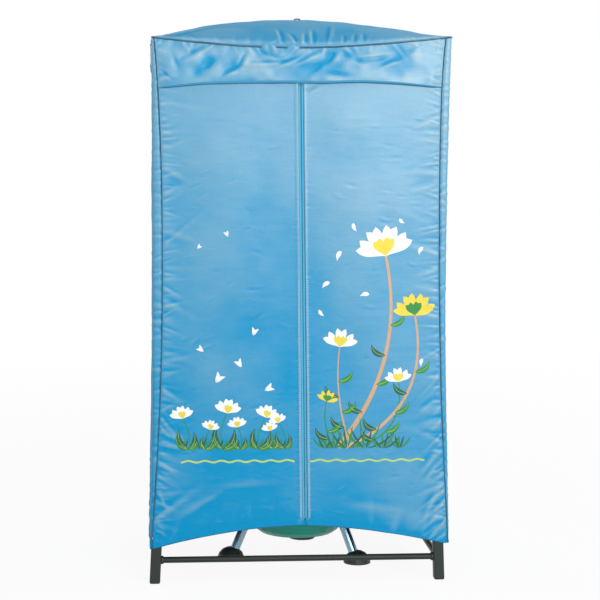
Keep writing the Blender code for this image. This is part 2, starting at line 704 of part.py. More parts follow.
def make_blower(mats):
    hub = empty("blower_axis", (BLOWER_X, BLOWER_Y, 0), (0, 0, BLOWER_TURN))
    height = BOWL_TOP - BOWL_Z
    bowl_line = shares(BOWL_R_SHARES, BOWL_Z_SHARES, BOWL_R, BOWL_Z, height)
    cap_line = shares(CAP_R_SHARES, CAP_Z_SHARES, BOWL_R, BOWL_TOP + FIT, CAP_H)
    shell(turned("blower_bowl", bowl_line, BLOWER_SIDES, mat=mats["green"], parent=hub), SHELL_T)
    shell(turned("blower_shell", cap_line, BLOWER_SIDES, mat=mats["green"], parent=hub), SHELL_T)
    grille("outlet_grille", cap_line[0][0] - GRILLE_FIT, cap_line[0][1] - GRILLE_T, mats, hub)
    grille("intake_grille", bowl_line[-1][0] - GRILLE_FIT, BOWL_Z, mats, hub)

    body = [(0, BOWL_TOP + CAP_H + OVERRUN), (cap_line[0][0], BOWL_TOP + CAP_H + OVERRUN)]
    body += cap_line + bowl_line[1:] + [(0, BOWL_Z)]
    swell = [(r + 2 * FIT if r > 0 else 0, z) for r, z in body[:-3]]
    swell += [(r + 2 * FIT if r > 0 else 0, z - 2 * FIT) for r, z in body[-3:]]
    outside = turned("cut_blower_outside", swell, BLOWER_SIDES, cutter=True, parent=hub)

    make_fan(mats, hub, bowl_line)
    make_heater(mats, hub, cap_line)
    make_panel(mats, hub, outside)
    make_legs(mats, hub, outside)

    gland_y = BOWL_R + GLAND_L / 2 - SHELL_T
    gland = cylinder("cord_gland", GLAND_R, GLAND_L, 16, (0, gland_y, GLAND_Z), 'Y',
                     mat=mats["black"], parent=hub)
    cut(gland, outside)
    cut(gland, cylinder("cut_gland_bore", GLAND_BORE_R, GLAND_BORE + OVERRUN, 12,
                        (0, gland_y + GLAND_L / 2 + OVERRUN - (GLAND_BORE + OVERRUN) / 2,
                         GLAND_Z), 'Y', cutter=True, parent=hub))


def make_fan(mats, hub, bowl_line):
    motor = cylinder("motor", MOTOR_R, MOTOR_H, 20, (0, 0, MOTOR_Z + MOTOR_H / 2),
                     mat=mats["steel"], parent=hub)
    shaft_low = MOTOR_Z - HUB_GAP - HUB_H
    shaft_high = MOTOR_Z + SHAFT_IN
    cut(motor, cylinder("cut_motor_bore", SHAFT_R + SHAFT_RUN, SHAFT_IN + FIT + OVERRUN, 12,
                        (0, 0, (shaft_high + FIT + MOTOR_Z - OVERRUN) / 2), cutter=True,
                        parent=hub))
    cylinder("motor_shaft", SHAFT_R, shaft_high - shaft_low, 12,
             (0, 0, (shaft_high + shaft_low) / 2), mat=mats["steel"], parent=hub)

    wheel = cylinder("fan_impeller", HUB_R, HUB_H, 16, (0, 0, shaft_low + HUB_H / 2),
                     mat=mats["black"], parent=hub)
    bm = bmesh.new()
    length = BLADE_R - HUB_R / 2
    for i in range(BLADES):
        move = (Matrix.Rotation(2 * math.pi * i / BLADES, 4, 'Z')
                @ Matrix.Translation((HUB_R / 2 + length / 2, 0, shaft_low + HUB_H / 2))
                @ Matrix.Rotation(BLADE_PITCH, 4, 'X')
                @ Matrix.Diagonal((length, BLADE_W, BLADE_T, 1)))
        bmesh.ops.create_cube(bm, size=1, matrix=move)
    blades = place(to_mesh("join_blades", bm), cutter=True, parent=hub)
    ring = cylinder("cut_blade_root", HUB_R - TUBE_WALL, 2 * HUB_H + BLADE_W, 16,
                    (0, 0, shaft_low + HUB_H / 2), cutter=True, parent=hub)
    cut(blades, ring)
    cut(wheel, blades, 'UNION')
    cut(wheel, cylinder("cut_hub_bore", SHAFT_R + FIT, HUB_H + 2 * OVERRUN, 12,
                        (0, 0, shaft_low + HUB_H / 2), cutter=True, parent=hub))

    outer = MOTOR_R + FIT + BRACKET_RING
    reach = wall_reach(bowl_line, BRACKET_Z, BRACKET_ARM)
    bracket = cylinder("motor_bracket", outer, BRACKET_H, 20, (0, 0, BRACKET_Z + BRACKET_H / 2),
                       mat=mats["steel"], parent=hub)
    arm = reach - MOTOR_R
    for i in range(3):
        angle = math.pi / 2 + 2 * math.pi * i / 3
        bm = bmesh.new()
        box_shape(bm, (arm, BRACKET_ARM, BRACKET_H), (MOTOR_R + arm / 2, 0,
                                                      BRACKET_Z + BRACKET_H / 2), angle)
        cut(bracket, place(to_mesh(f"join_bracket_arm_{i + 1}", bm), cutter=True, parent=hub),
            'UNION')
    cut(bracket, cylinder("cut_bracket_ring", MOTOR_R + FIT, BRACKET_H + 2 * OVERRUN, 20,
                          (0, 0, BRACKET_Z + BRACKET_H / 2), cutter=True, parent=hub))


def make_heater(mats, hub, cap_line):
    middle = HEATER_Z + HEATER_H / 2
    frame = box("heater_frame", (HEATER_X, HEATER_Y, HEATER_H), (0, 0, middle),
                mat=mats["steel"], parent=hub)
    reach = wall_reach(cap_line, HEATER_Z + HEATER_EAR_T, HEATER_EAR_W)
    cut(frame, box("join_heater_ears", (2 * reach, HEATER_EAR_W, HEATER_EAR_T),
                   (0, 0, HEATER_Z + HEATER_EAR_T / 2), cutter=True, parent=hub), 'UNION')
    cut(frame, box("cut_heater_inside",
                   (HEATER_X - 2 * HEATER_WALL, HEATER_Y - 2 * HEATER_WALL,
                    HEATER_H + 2 * OVERRUN), (0, 0, middle), cutter=True, parent=hub))
    core_x = HEATER_X - 2 * HEATER_WALL - 2 * FIT
    core_y = HEATER_Y - 2 * HEATER_WALL - 2 * FIT
    core_h = HEATER_H - HEATER_EAR_T
    core = box("heater_core", (core_x, core_y, core_h), (0, 0, middle), mat=mats["heater"],
               parent=hub)
    bm = bmesh.new()
    for i in range(FIN_COUNT):
        x = core_x * ((i + 0.5) / FIN_COUNT - 0.5)
        for level in (-1, 1):
            box_shape(bm, (FIN_GAP, core_y - 2 * HEATER_WALL, 2 * FIN_DEPTH),
                      (x, 0, middle + level * core_h / 2))
    cut(core, place(to_mesh("cut_fins", bm), cutter=True, parent=hub))


def make_panel(mats, hub, outside):
    """Control box on the front of the blower, with its timer, switch and lamp."""
    face_y = -(BOWL_R + PANEL_D)
    middle_z = PANEL_Z + PANEL_H / 2
    depth = PANEL_D + PANEL_BACK
    panel = box("control_panel", (PANEL_W, depth, PANEL_H), (0, face_y + depth / 2, middle_z),
                mat=mats["black"], parent=hub)
    round_edges(panel, PANEL_ROUND)
    cut(panel, box("cut_panel_inside", (PANEL_W - 2 * PANEL_WALL, depth, PANEL_H - 2 * PANEL_WALL),
                   (0, face_y + depth / 2 + PANEL_WALL, middle_z), cutter=True, parent=hub))
    cut(panel, outside)

    body_front = face_y + PANEL_WALL + FIT
    hole_l = PANEL_WALL + 2 * OVERRUN
    cut(panel, cylinder("cut_panel_spindle", SPINDLE_R + SPINDLE_RUN, hole_l, 12,
                        (KNOB_X, face_y + PANEL_WALL / 2, middle_z), 'Y', cutter=True,
                        parent=hub))
    timer = cylinder("timer_body", TIMER_R, TIMER_D, 18, (KNOB_X, body_front + TIMER_D / 2,
                                                         middle_z), 'Y',
                     mat=mats["white"], parent=hub)
    cut(timer, cylinder("cut_timer_bore", SPINDLE_R + SPINDLE_RUN, SPINDLE_IN + FIT + OVERRUN, 12,
                        (KNOB_X, body_front + (SPINDLE_IN + FIT - OVERRUN) / 2, middle_z), 'Y',
                        cutter=True, parent=hub))
    knob_back = -KNOB_GAP
    axis = (KNOB_X, face_y, middle_z)
    knob = cylinder("timer_knob", KNOB_R, KNOB_H, 20, (0, knob_back - KNOB_H / 2, 0), 'Y',
                    mat=mats["white"], parent=hub, at=axis)
    grip_y = knob_back - KNOB_H
    cut(knob, box("join_knob_grip", (KNOB_GRIP_W, 2 * KNOB_GRIP_H, 2 * KNOB_R - KNOB_GRIP_W),
                  (0, grip_y, 0), cutter=True, parent=hub, at=axis), 'UNION')
    spindle_l = KNOB_GAP + PANEL_WALL + FIT + SPINDLE_IN + KNOB_H / 2
    cut(knob, cylinder("join_spindle", SPINDLE_R, spindle_l, 12,
                       (0, knob_back - KNOB_H / 2 + spindle_l / 2, 0), 'Y', cutter=True,
                       parent=hub, at=axis), 'UNION')

    switch_y = face_y - SWITCH_PROUD + SWITCH_D / 2
    cut(panel, box("cut_panel_switch", (SWITCH_W + 2 * SWITCH_CLEAR, hole_l,
                                        SWITCH_H + 2 * SWITCH_CLEAR),
                   (SWITCH_X, face_y + PANEL_WALL / 2, middle_z), cutter=True, parent=hub))
    box("power_switch", (SWITCH_W, SWITCH_D, SWITCH_H), mat=mats["red"], parent=hub,
        at=(SWITCH_X, switch_y, middle_z))
    cut(panel, cylinder("cut_panel_lamp", LAMP_R + FIT, hole_l, 12,
                        (LAMP_X, face_y + PANEL_WALL / 2, middle_z), 'Y', cutter=True,
                        parent=hub))
    cylinder("indicator_lamp", LAMP_R, LAMP_H, 12,
             (LAMP_X, face_y - LAMP_PROUD + LAMP_H / 2, middle_z), 'Y', mat=mats["red"],
             parent=hub)


def make_legs(mats, hub, outside):
    lean = math.atan(LEG_LEAN)
    length = (LEG_TOP - LEG_LOW) / math.cos(lean)
    legs = (("left", -math.pi / 2 - LEG_SPREAD, LEG_REACH),
            ("right", -math.pi / 2 + LEG_SPREAD, LEG_REACH),
            ("back", math.pi / 2, LEG_REACH_BACK))
    for name, angle, reach in legs:
        out = Vector((math.cos(angle), math.sin(angle), 0))
        foot_at = out * reach
        low = out * (reach - LEG_LEAN * LEG_LOW) + Vector((0, 0, LEG_LOW))
        axis = (Vector((0, 0, 1)) - out * LEG_LEAN).normalized()
        turn = Vector((0, 0, 1)).rotation_difference(axis).to_euler()
        middle = low + axis * length / 2
        leg = cylinder(f"blower_leg_{name}", LEG_D / 2, length, LEG_SIDES, mat=mats["chrome"],
                       parent=hub, at=middle, turn=turn)
        cut(leg, outside)
        dome = turned(f"leg_foot_{name}",
                      shares(DOME_R_SHARES, DOME_Z_SHARES, DOME_R, 0, DOME_H) + [(0, 0)], 20,
                      mat=mats["black"], parent=hub, at=foot_at)
        socket_l = length + FIT
        cut(dome, cylinder(f"cut_leg_foot_{name}", LEG_D / 2 + FIT, socket_l, LEG_SIDES,
                           cutter=True, parent=hub, at=middle - axis * FIT / 2, turn=turn))


def main():
    start()
    mats = {
        "cloth": material("cover_cloth", (0.16, 0.47, 0.70), 0.45),
        "piping": material("piping_cord", (0.015, 0.08, 0.16), 0.6),
        "zip": material("zip_tape", (0.03, 0.28, 0.57), 0.6),
        "dark_metal": material("zip_metal", (0.05, 0.06, 0.08), 0.4, 0.8),
        "black": material("black_plastic", (0.03, 0.037, 0.04), 0.5),
        "black_steel": material("black_steel", (0.03, 0.037, 0.04), 0.4, 0.2),
        "steel": material("tube_steel", (0.55, 0.56, 0.58), 0.35, 0.9),
        "chrome": material("leg_steel", (0.62, 0.65, 0.68), 0.2, 1.0),
        "green": material("blower_green", (0.02, 0.20, 0.13), 0.35),
        "white": material("white_plastic", (0.8, 0.8, 0.78), 0.4),
        "red": material("red_plastic", (0.5, 0.02, 0.02), 0.4),
        "heater": material("heater_fins", (0.35, 0.33, 0.30), 0.5, 0.6),
    }
    make_frame(mats)
    make_cover(mats)
    make_blower(mats)
    bpy.context.view_layer.update()


main()
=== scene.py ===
"""Looks of the portable clothes dryer, built round its packed CAD model.

Metres, +Z up, front towards -Y. Laid out as an add-on, run as a script.
"""

import math

import bpy
import numpy as np
from bpy.props import FloatProperty, FloatVectorProperty, IntProperty, PointerProperty
from mathutils import Matrix, Vector
from mathutils.bvhtree import BVHTree


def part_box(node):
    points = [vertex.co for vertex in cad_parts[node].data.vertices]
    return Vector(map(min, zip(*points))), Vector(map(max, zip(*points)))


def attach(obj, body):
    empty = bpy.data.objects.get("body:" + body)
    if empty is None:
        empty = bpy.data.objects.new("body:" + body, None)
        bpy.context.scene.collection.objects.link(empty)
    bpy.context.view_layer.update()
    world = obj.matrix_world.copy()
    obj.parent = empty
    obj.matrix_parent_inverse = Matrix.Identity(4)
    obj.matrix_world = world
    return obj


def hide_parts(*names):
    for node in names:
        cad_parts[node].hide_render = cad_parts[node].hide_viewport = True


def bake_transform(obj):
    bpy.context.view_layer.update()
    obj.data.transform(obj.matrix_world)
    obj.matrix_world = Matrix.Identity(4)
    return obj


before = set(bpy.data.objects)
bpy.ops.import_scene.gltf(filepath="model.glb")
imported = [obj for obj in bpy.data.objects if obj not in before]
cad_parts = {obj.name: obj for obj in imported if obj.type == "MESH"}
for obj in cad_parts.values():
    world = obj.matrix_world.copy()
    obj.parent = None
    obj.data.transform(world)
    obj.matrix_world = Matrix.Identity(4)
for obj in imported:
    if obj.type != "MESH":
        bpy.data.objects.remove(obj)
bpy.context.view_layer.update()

bl_info = {
    "name": "Clothes dryer looks",
    "version": (1, 0, 0),
    "blender": (4, 5, 0),
    "location": "3D View > Sidebar > Dryer",
    "description": "Cloth, trim, print and finishes of the portable clothes dryer",
    "category": "Object",
}

# Shapes of the cover, the same values as in the CAD source
SPAN_X, SPAN_Y = 0.725, 0.500
CLOTH_T = 0.0015
FRONT_Y = 0.2665
HEM_Z, HEM_RISE, HEM_POWER = 0.0920, 0.0500, 1.9
SIDE_HEM_RISE = 0.0120
TOP_Z, SEAM_SAG, SIDE_SAG, DOME_RISE = 1.3860, 0.0260, 0.0120, 0.0545
SEAM_X_HEM, SEAM_X_TOP, SEAM_DRAW = 0.3745, 0.3665, 0.0196
SEAM_CORNER, SEAM_CORNER_POWER = 0.0040, 24
SIDE_X, SIDE_FLARE_HEM, SIDE_FLARE_TOP, SIDE_BELLY = 0.3735, 0.0080, 0.0027, 0.0050
TOP_X = 0.3765
PIPING_R, PIPING_OUT, PIPING_Y, PIPING_Z_DROP = 0.0020, 0.0025, 0.26575, 0.0044
EDGE_DROP = 0.0024
VALANCE_Z, VALANCE_RISE, VALANCE_OUT = 1.2570, 0.0140, 0.0040
VALANCE_BLEND_Z, VALANCE_BLEND = 1.3200, 0.0300
DOOR_TOP_GAP, DOOR_BELLY = 0.0010, 0.0060
ZIP_X_TOP, ZIP_X_HEM = -0.0040, 0.0160
ZIP_Z_TOP, ZIP_Z_HEM, ZIP_OPEN = 1.2695, 0.1660, 0.0114
TAPE_UNDER, TAPE_FRONT_Y, TEETH_GAP = 0.0060, 0.2647, 0.0016
BACK_SWELL = 0.0070

# Where the sewn cloth differs from the solids that it stands for
SHEET_T = 0.0004
LINE_LIFT = 0.0003
PRINT_LIFT, INK_LAYER = 0.0003, 0.0001
FOLD_FULL = 0.0022
CROWN_FULL = 0.0560
CROWN_CORD_OUT = 0.0010
DOOR_TUCK, SIDE_TUCK, FLAP_TUCK = 0.0008, 0.0030, 0.0010
CLOSED_GAP = 0.0004
SIDE_ROUNDING = 0.42
DOORS = (("left", -1, "left_door"), ("right", 1, "right_door"))

# Share of a side panel's width that is flat, between its rounded corners
SIDE_FLAT = 0.74

# Fullness of the cloth beside the zip and of the flap's lower part, and the way in which two
# bulges of the flap lie over the crown's cord
ZIP_SEAM_OUT, FLAP_FULL = 0.0018, 0.0035
OVER_CORD = (0.0, -0.0040, 0.0066)

# Two corner cords and the crown's, as shares of the piping's radius
CORD_SHARES = (0.72, 0.72, 0.85)

# Half sizes of a turned hem, of one turn of the zip's coil and of a bead beside the zip
HEM_HALF = 0.0050
COIL_HALF = (0.0011, 0.0006, 0.0007)
BEAD_HALF = (0.0013, 0.0006, 0.0026)

# Front of the zip's tapes, and the rows of the end tape that are slotted for the slider
TAPE_FACE_Y = TAPE_FRONT_Y - 0.0002
END_TAPE_SLOT = 21

# Where a door's cloth is sewn, out to the first x, and where it swings freely, from the second one
# on; nothing here bends the cloth by them
SEWN_X, FREE_X = 0.3470, 0.2600

# Outer faces of the posts and of their top corner pieces, which the side panels clear
POST_FACE_X, FITTING_FACE_X = 0.3713, 0.3748
FITTING_LOW_Z, FITTING_IN_Y = 1.3000, 0.2150

# How far the seams and side panels stand out of the solids' sides at these heights, in mm
DRIFT_Z = (0.09, 0.16, 0.25, 0.36, 0.47, 0.60, 0.75, 0.90, 1.00, 1.14, 1.25, 1.38)
SEAM_DRIFT = {-1: (-1, -1, -2, -3, -4, -4, -4, -4, -5, -5, -4, -2),
              1: (10, 10, 9, 7, 5, 4, 1, -2, -5, -9, -12, -13)}
PANEL_DRIFT = {-1: (-2, -3, -3, -4, -4, -4, -4, -4, -4, -4, -4, -3),
               1: (8, 8, 6, 4, 1, -2, -4, -4, -4, -3, -2, 0)}

# How far the top seam, the flap's lower edge and the hem stand above the solids', in mm
LIFT_X = (-0.38, -0.25, -0.10, 0.05, 0.15, 0.25, 0.33, 0.38)
CROWN_LIFT = (0, 2.0, 3.0, 4.5, 7.0, 9.5, 9.5, 8.5)
FLAP_LIFT = (0, 5.5, 4.5, 4.5, 10.0, 10.0, 8.0, 6.5)
HEM_LIFT_X = (-0.38, -0.25, 0.0, 0.22, 0.38)
HEM_LIFT = (0.5, 3.0, 7.0, 5.0, 7.0)

# Gathers along the seams: pitch, width and reach in mm, depth in pucker depths, slant, lean
GATHERS = {
    "door_seam": (17, 3.6, 24, 1.10, 0.25, 0),
    "door_seam_long": (55, 7.5, 60, 0.8, 0.45, 0),
    "door_corner": (24, 5.0, 34, 1.5, 0.25, -0.75),
    "door_zip": (7.5, 2.3, 9, 0.70, 0.1, 0),
    "hem": (50, 8.0, 45, 0.6, 0.3, 0),
    "flap_top": (26, 5.5, 22, 0.9, 0.8, 0),
    "flap_end": (16, 4.0, 22, 1, 0.25, 0),
    "back_seam": (21, 4.2, 30, 1, 0.25, 0),
    "back_seam_long": (60, 7.5, 80, 0.9, 0.45, 0),
    "back_top": (20, 5.0, 35, 1.2, 0.4, 0),
    "side_seam": (22, 4.2, 26, 0.8, 0.5, 0),
    "side_top": (22, 5.0, 30, 1, 0.3, 0),
    "crown_front": (34, 5.0, 26, 0.55, 0.5, 0),
    "crown_side": (22, 4.5, 28, 1, 0.4, 0),
}

# Creases from one x, z to another, their width and their height, all in mm
DOOR_CREASES = {
    -1: [(-370, 150, -335, 120, 4.5, 2.0), (-372, 190, -340, 172, 4.0, 1.6),
         (-350, 362, -290, 352, 4.8, 1.8), (-356, 300, -335, 282, 4.5, 1.6),
         (-352, 395, -300, 372, 5.0, 1.6), (-356, 318, -318, 286, 5.5, 1.8),
         (-360, 246, -338, 196, 5.0, 2.0), (-362, 160, -345, 142, 4.0, 1.4),
         (-300, 182, -205, 236, 9.0, 1.2), (-200, 255, -75, 262, 10.0, 0.9),
         (-345, 1060, -290, 1030, 6.0, 1.2), (-345, 905, -270, 880, 7.0, 1.0)],
    1: [(8, 1252, 40, 1268, 3.5, -1.2), (352, 330, 318, 286, 5.5, 1.8),
        (358, 236, 330, 176, 5.5, 2.0), (362, 176, 330, 140, 5.0, 1.8),
        (346, 470, 310, 440, 5.0, 1.4), (260, 185, 120, 205, 10.0, 0.9),
        (370, 150, 318, 112, 5.0, 2.4), (368, 128, 330, 108, 4.0, 2.0),
        (372, 205, 345, 175, 4.0, 2.0), (352, 300, 325, 262, 4.5, 1.8),
        (345, 1190, 290, 1165, 6.0, 1.2), (344, 1020, 285, 1005, 7.0, 1.0)],
}
VALANCE_CREASES = [
    (-296, 1336, -236, 1366, 5.5, -2.6), (-197, 1295, -159, 1314, 4.0, -3.0),
    (-159, 1314, -145, 1343, 5.0, -2.6), (-137, 1325, -41, 1328, 3.8, -2.0),
    (-68, 1317, -7, 1342, 4.0, -2.4), (-21, 1323, 45, 1356, 3.8, -2.6),
    (65, 1330, 83, 1353, 6.0, -2.6), (55, 1303, 119, 1295, 6.0, -2.0),
    (194, 1320, 240, 1339, 4.2, -2.6), (128, 1340, 225, 1350, 5.0, 2.0),
    (262, 1352, 282, 1362, 5.0, -1.6), (-353, 1303, -328, 1284, 3.6, -2.6),
    (-322, 1338, -312, 1315, 5.5, -1.4), (330, 1292, 346, 1286, 2.2, -1.2),
    (326, 1304, 346, 1300, 2.2, -1.2), (-110, 1352, -60, 1338, 4.5, -2.0),
    (-250, 1310, -215, 1336, 13.0, -3.6), (100, 1352, 150, 1330, 6.0, -1.8),
    (20, 1300, 60, 1335, 7.0, -1.8),
]
# The same on the crown, from one x, y to another
TOP_CREASES = [
    (60, -262, 75, -170, 4.5, -3.0), (0, -264, 4, -222, 3.5, 3.4),
    (21, -264, 24, -205, 4.0, 3.6), (-55, -264, -62, -195, 4.0, 3.0),
    (98, -264, 102, -230, 3.5, 2.2), (124, -264, 130, -226, 3.5, 2.2),
    (148, -264, 152, -222, 3.5, 2.4), (-20, -264, -34, -226, 4.0, 3.0),
    (-350, -245, -230, -120, 10.0, 2.4), (350, -245, 240, -130, 10.0, 2.4),
    (-350, 245, -240, 130, 10.0, 2.4), (350, 245, 235, 120, 10.0, 2.4),
]


def srgb(r, g, b):
    """A colour in linear light from its 0 to 255 screen values."""
    def one(c):
        c /= 255
        return c / 12.92 if c <= 0.04045 else ((c + 0.055) / 1.055) ** 2.4
    return one(r), one(g), one(b)


def colour(label, help_text, rgb):
    return FloatVectorProperty(name=label, description=help_text, subtype='COLOR', size=3, min=0,
                               max=1, default=srgb(*rgb))


def length(label, help_text, value):
    return FloatProperty(name=label, description=help_text, default=value, min=0, unit='LENGTH',
                         precision=4)


def amount(label, help_text, value):
    return FloatProperty(name=label, description=help_text, default=value, min=0)


# Values that a user would change
class CoverLook(bpy.types.PropertyGroup):
    # The pale cloth colour is painted sheen, mixed in high up, to the right and on the ridges of
    # folds
    pale: colour("Pale cloth", "Cloth high up, where it catches the light", (146, 184, 200))
    deep: colour("Deep cloth", "Cloth near the hem", (6, 148, 200))
    pucker: length("Pucker depth", "Depth of the short folds along the seams", 0.0018)
    swell: length("Undulation", "Height of the broad waves in the panels", 0.0016)
    piping: colour("Piping", "Cord in the corner seams", (34, 98, 126))
    stitch: length("Stitch", "Length of one stitch", 0.0030)


class ZipLook(bpy.types.PropertyGroup):
    tape: colour("Zip tape", "Woven tape of the zip", (92, 200, 242))
    coil: colour("Zip coil", "Nylon coil of the zip", (70, 176, 226))
    pitch: length("Coil pitch", "From one turn of the coil to the next", 0.0022)


class FrameLook(bpy.types.PropertyGroup):
    moulded: colour("Moulded feet", "Feet and corner pieces", (21, 33, 30))
    painted: colour("Base rails", "Painted rails", (27, 36, 34))
    tube: colour("Tube", "Posts, top rails and rods", (196, 199, 202))


class BlowerLook(bpy.types.PropertyGroup):
    body: colour("Blower body", "Bowl and shell", (44, 184, 158))
    legs: colour("Legs", "Bright legs", (136, 164, 180))
    screws: IntProperty(name="Screws", description="Screws round the rim", default=6, min=3,
                        max=24)


class PrintLook(bpy.types.PropertyGroup):
    white: colour("White ink", "Petals", (246, 249, 250))
    yellow: colour("Yellow ink", "Hearts of the flowers", (236, 214, 66))
    green: colour("Green ink", "Leaves", (40, 138, 58))
    dark: colour("Dark green ink", "Leaves in shade", (6, 92, 72))
    lime: colour("Lime ink", "Lines and veins", (186, 214, 112))
    tan: colour("Tan ink", "Tall stems", (208, 166, 126))


class StageLook(bpy.types.PropertyGroup):
    key: amount("Front lamp", "Watts of the soft front lamp", 127.0)
    fill: amount("Fill lamps", "Watts of the left lamp, on which the others' depend", 12.0)
    sky: amount("Sky", "Strength of the white surroundings", 0.28)


LOOKS = {"dryer_cover": CoverLook, "dryer_zip": ZipLook, "dryer_frame": FrameLook,
         "dryer_blower": BlowerLook, "dryer_print": PrintLook, "dryer_stage": StageLook}


# Shader building
def add_node(tree, kind, settings=None, sockets=None):
    """Add a node: its settings first, then the values or links of its sockets."""
    node = tree.nodes.new(kind)
    for key, value in (settings or {}).items():
        setattr(node, key, value)
    for key, value in (sockets or {}).items():
        socket = node.inputs[key]
        if isinstance(value, Value):
            value = value.socket
        if isinstance(value, bpy.types.NodeSocket):
            tree.links.new(value, socket)
        elif socket.type == 'RGBA' and len(value) == 3:
            socket.default_value = (*value, 1.0)
        else:
            socket.default_value = value
    return node


def sum_by(operation):
    """A Python operator that adds this Math node."""
    return lambda self, other: self.math(operation, other)


class Value:
    """A number socket that takes part in Python sums; each sum adds its Math node."""
    __add__ = __radd__ = sum_by('ADD')
    __mul__ = sum_by('MULTIPLY')
    __sub__ = sum_by('SUBTRACT')
    __truediv__ = sum_by('DIVIDE')
    __pow__ = sum_by('POWER')

    def __init__(self, shade, socket):
        self.shade = shade
        self.socket = socket

    def math(self, operation, *others):
        return self.shade.math(operation, self, *others)

    def __rsub__(self, other):
        return self.shade.math('SUBTRACT', other, self)

    def clamp(self):
        return self.math('MAXIMUM', 0.0).math('MINIMUM', 1.0)

    def wave(self, pitch):
        """A sine wave of this pitch, from -1 to 1."""
        return (self * (2 * math.pi / pitch)).math('SINE')

    def step(self, low, high):
        """0 below low and 1 above high, with a soft rise between them."""
        node = self.shade.node('ShaderNodeMapRange', {"interpolation_type": 'SMOOTHSTEP'},
                               {"Value": self, "From Min": low, "From Max": high})
        return Value(self.shade, node.outputs["Result"])


class Shade:
    """The nodes of one material, or of the surroundings."""

    def __init__(self, name, blocks="materials"):
        self.block = getattr(bpy.data, blocks).new(name)
        self.block.use_nodes = True
        self.tree = self.block.node_tree
        self.tree.nodes.clear()

    def node(self, kind, settings=None, sockets=None):
        return add_node(self.tree, kind, settings, sockets)

    def math(self, operation, *values):
        node = self.node('ShaderNodeMath', {"operation": operation}, dict(enumerate(values)))
        return Value(self, node.outputs[0])

    def where(self):
        """Place on the object, in metres."""
        return self.node('ShaderNodeTexCoord').outputs["Object"]

    def uv(self):
        """Place along and across the cloth, in metres."""
        return self.node('ShaderNodeUVMap', {"uv_map": "cloth"}).outputs["UV"]

    def fact(self, name):
        """A number that the mesh keeps for each of its points."""
        node = self.node('ShaderNodeAttribute', {"attribute_name": name})
        return Value(self, node.outputs["Fac"])

    def split(self, vector):
        node = self.node('ShaderNodeSeparateXYZ', sockets={0: vector})
        return [Value(self, out) for out in node.outputs]

    def stretch(self, vector, factors):
        return self.node('ShaderNodeVectorMath', {"operation": 'MULTIPLY'},
                         {0: vector, 1: factors}).outputs[0]

    def noise(self, vector, scale, detail=2.0, roughness=0.5, distortion=0.0):
        node = self.node('ShaderNodeTexNoise', sockets={
            "Vector": vector, "Scale": scale, "Detail": detail, "Roughness": roughness,
            "Distortion": distortion})
        return Value(self, node.outputs[0])

    def mix(self, a, b, share):
        node = self.node('ShaderNodeMix', {"data_type": 'RGBA'}, {0: share, 6: a, 7: b})
        return node.outputs[2]

    def bump(self, height, distance, strength=1.0, normal=None):
        node = self.node('ShaderNodeBump', sockets={
            "Height": height, "Distance": distance, "Strength": strength})
        if normal is not None:
            self.tree.links.new(normal, node.inputs["Normal"])
        return node.outputs["Normal"]

    def seen(self, *kinds):
        """1 for a ray of any of these kinds."""
        rays = self.node('ShaderNodeLightPath').outputs
        first, *others = [Value(self, rays[f"Is {kind} Ray"]) for kind in kinds]
        for other in others:
            first = first.math('MAXIMUM', other)
        return first

    def done(self, base, roughness, normal, view, **constants):
        """The Principled shader; what is the same all over goes on its own sockets."""
        sockets = {"Base Color": base, "Roughness": roughness, "Normal": normal}
        for key, value in constants.items():
            sockets[key.replace("_", " ")] = value
        shader = self.node('ShaderNodeBsdfPrincipled', sockets=sockets)
        self.node('ShaderNodeOutputMaterial', sockets={"Surface": shader.outputs[0]})
        self.block.diffuse_color = (*view, 1.0)
        return self.block


def tint(rgb, factor):
    """A colour made darker or lighter."""
    return tuple(min(c * factor, 1.0) for c in rgb)


# Soft spots of the front: x, z, half width, half height; one painted paler as a painted sheen, and
# two painted deeper, with less coat, as painted shade
PAINTED_SHEEN_SPOT = (0.29, 0.22, 0.15, 0.13)
PAINTED_SHADE_SPOT, PAINTED_SHADE_FLAP_SPOT = (-0.05, 0.72, 0.17, 0.44), (0.05, 1.34, 0.32, 0.090)


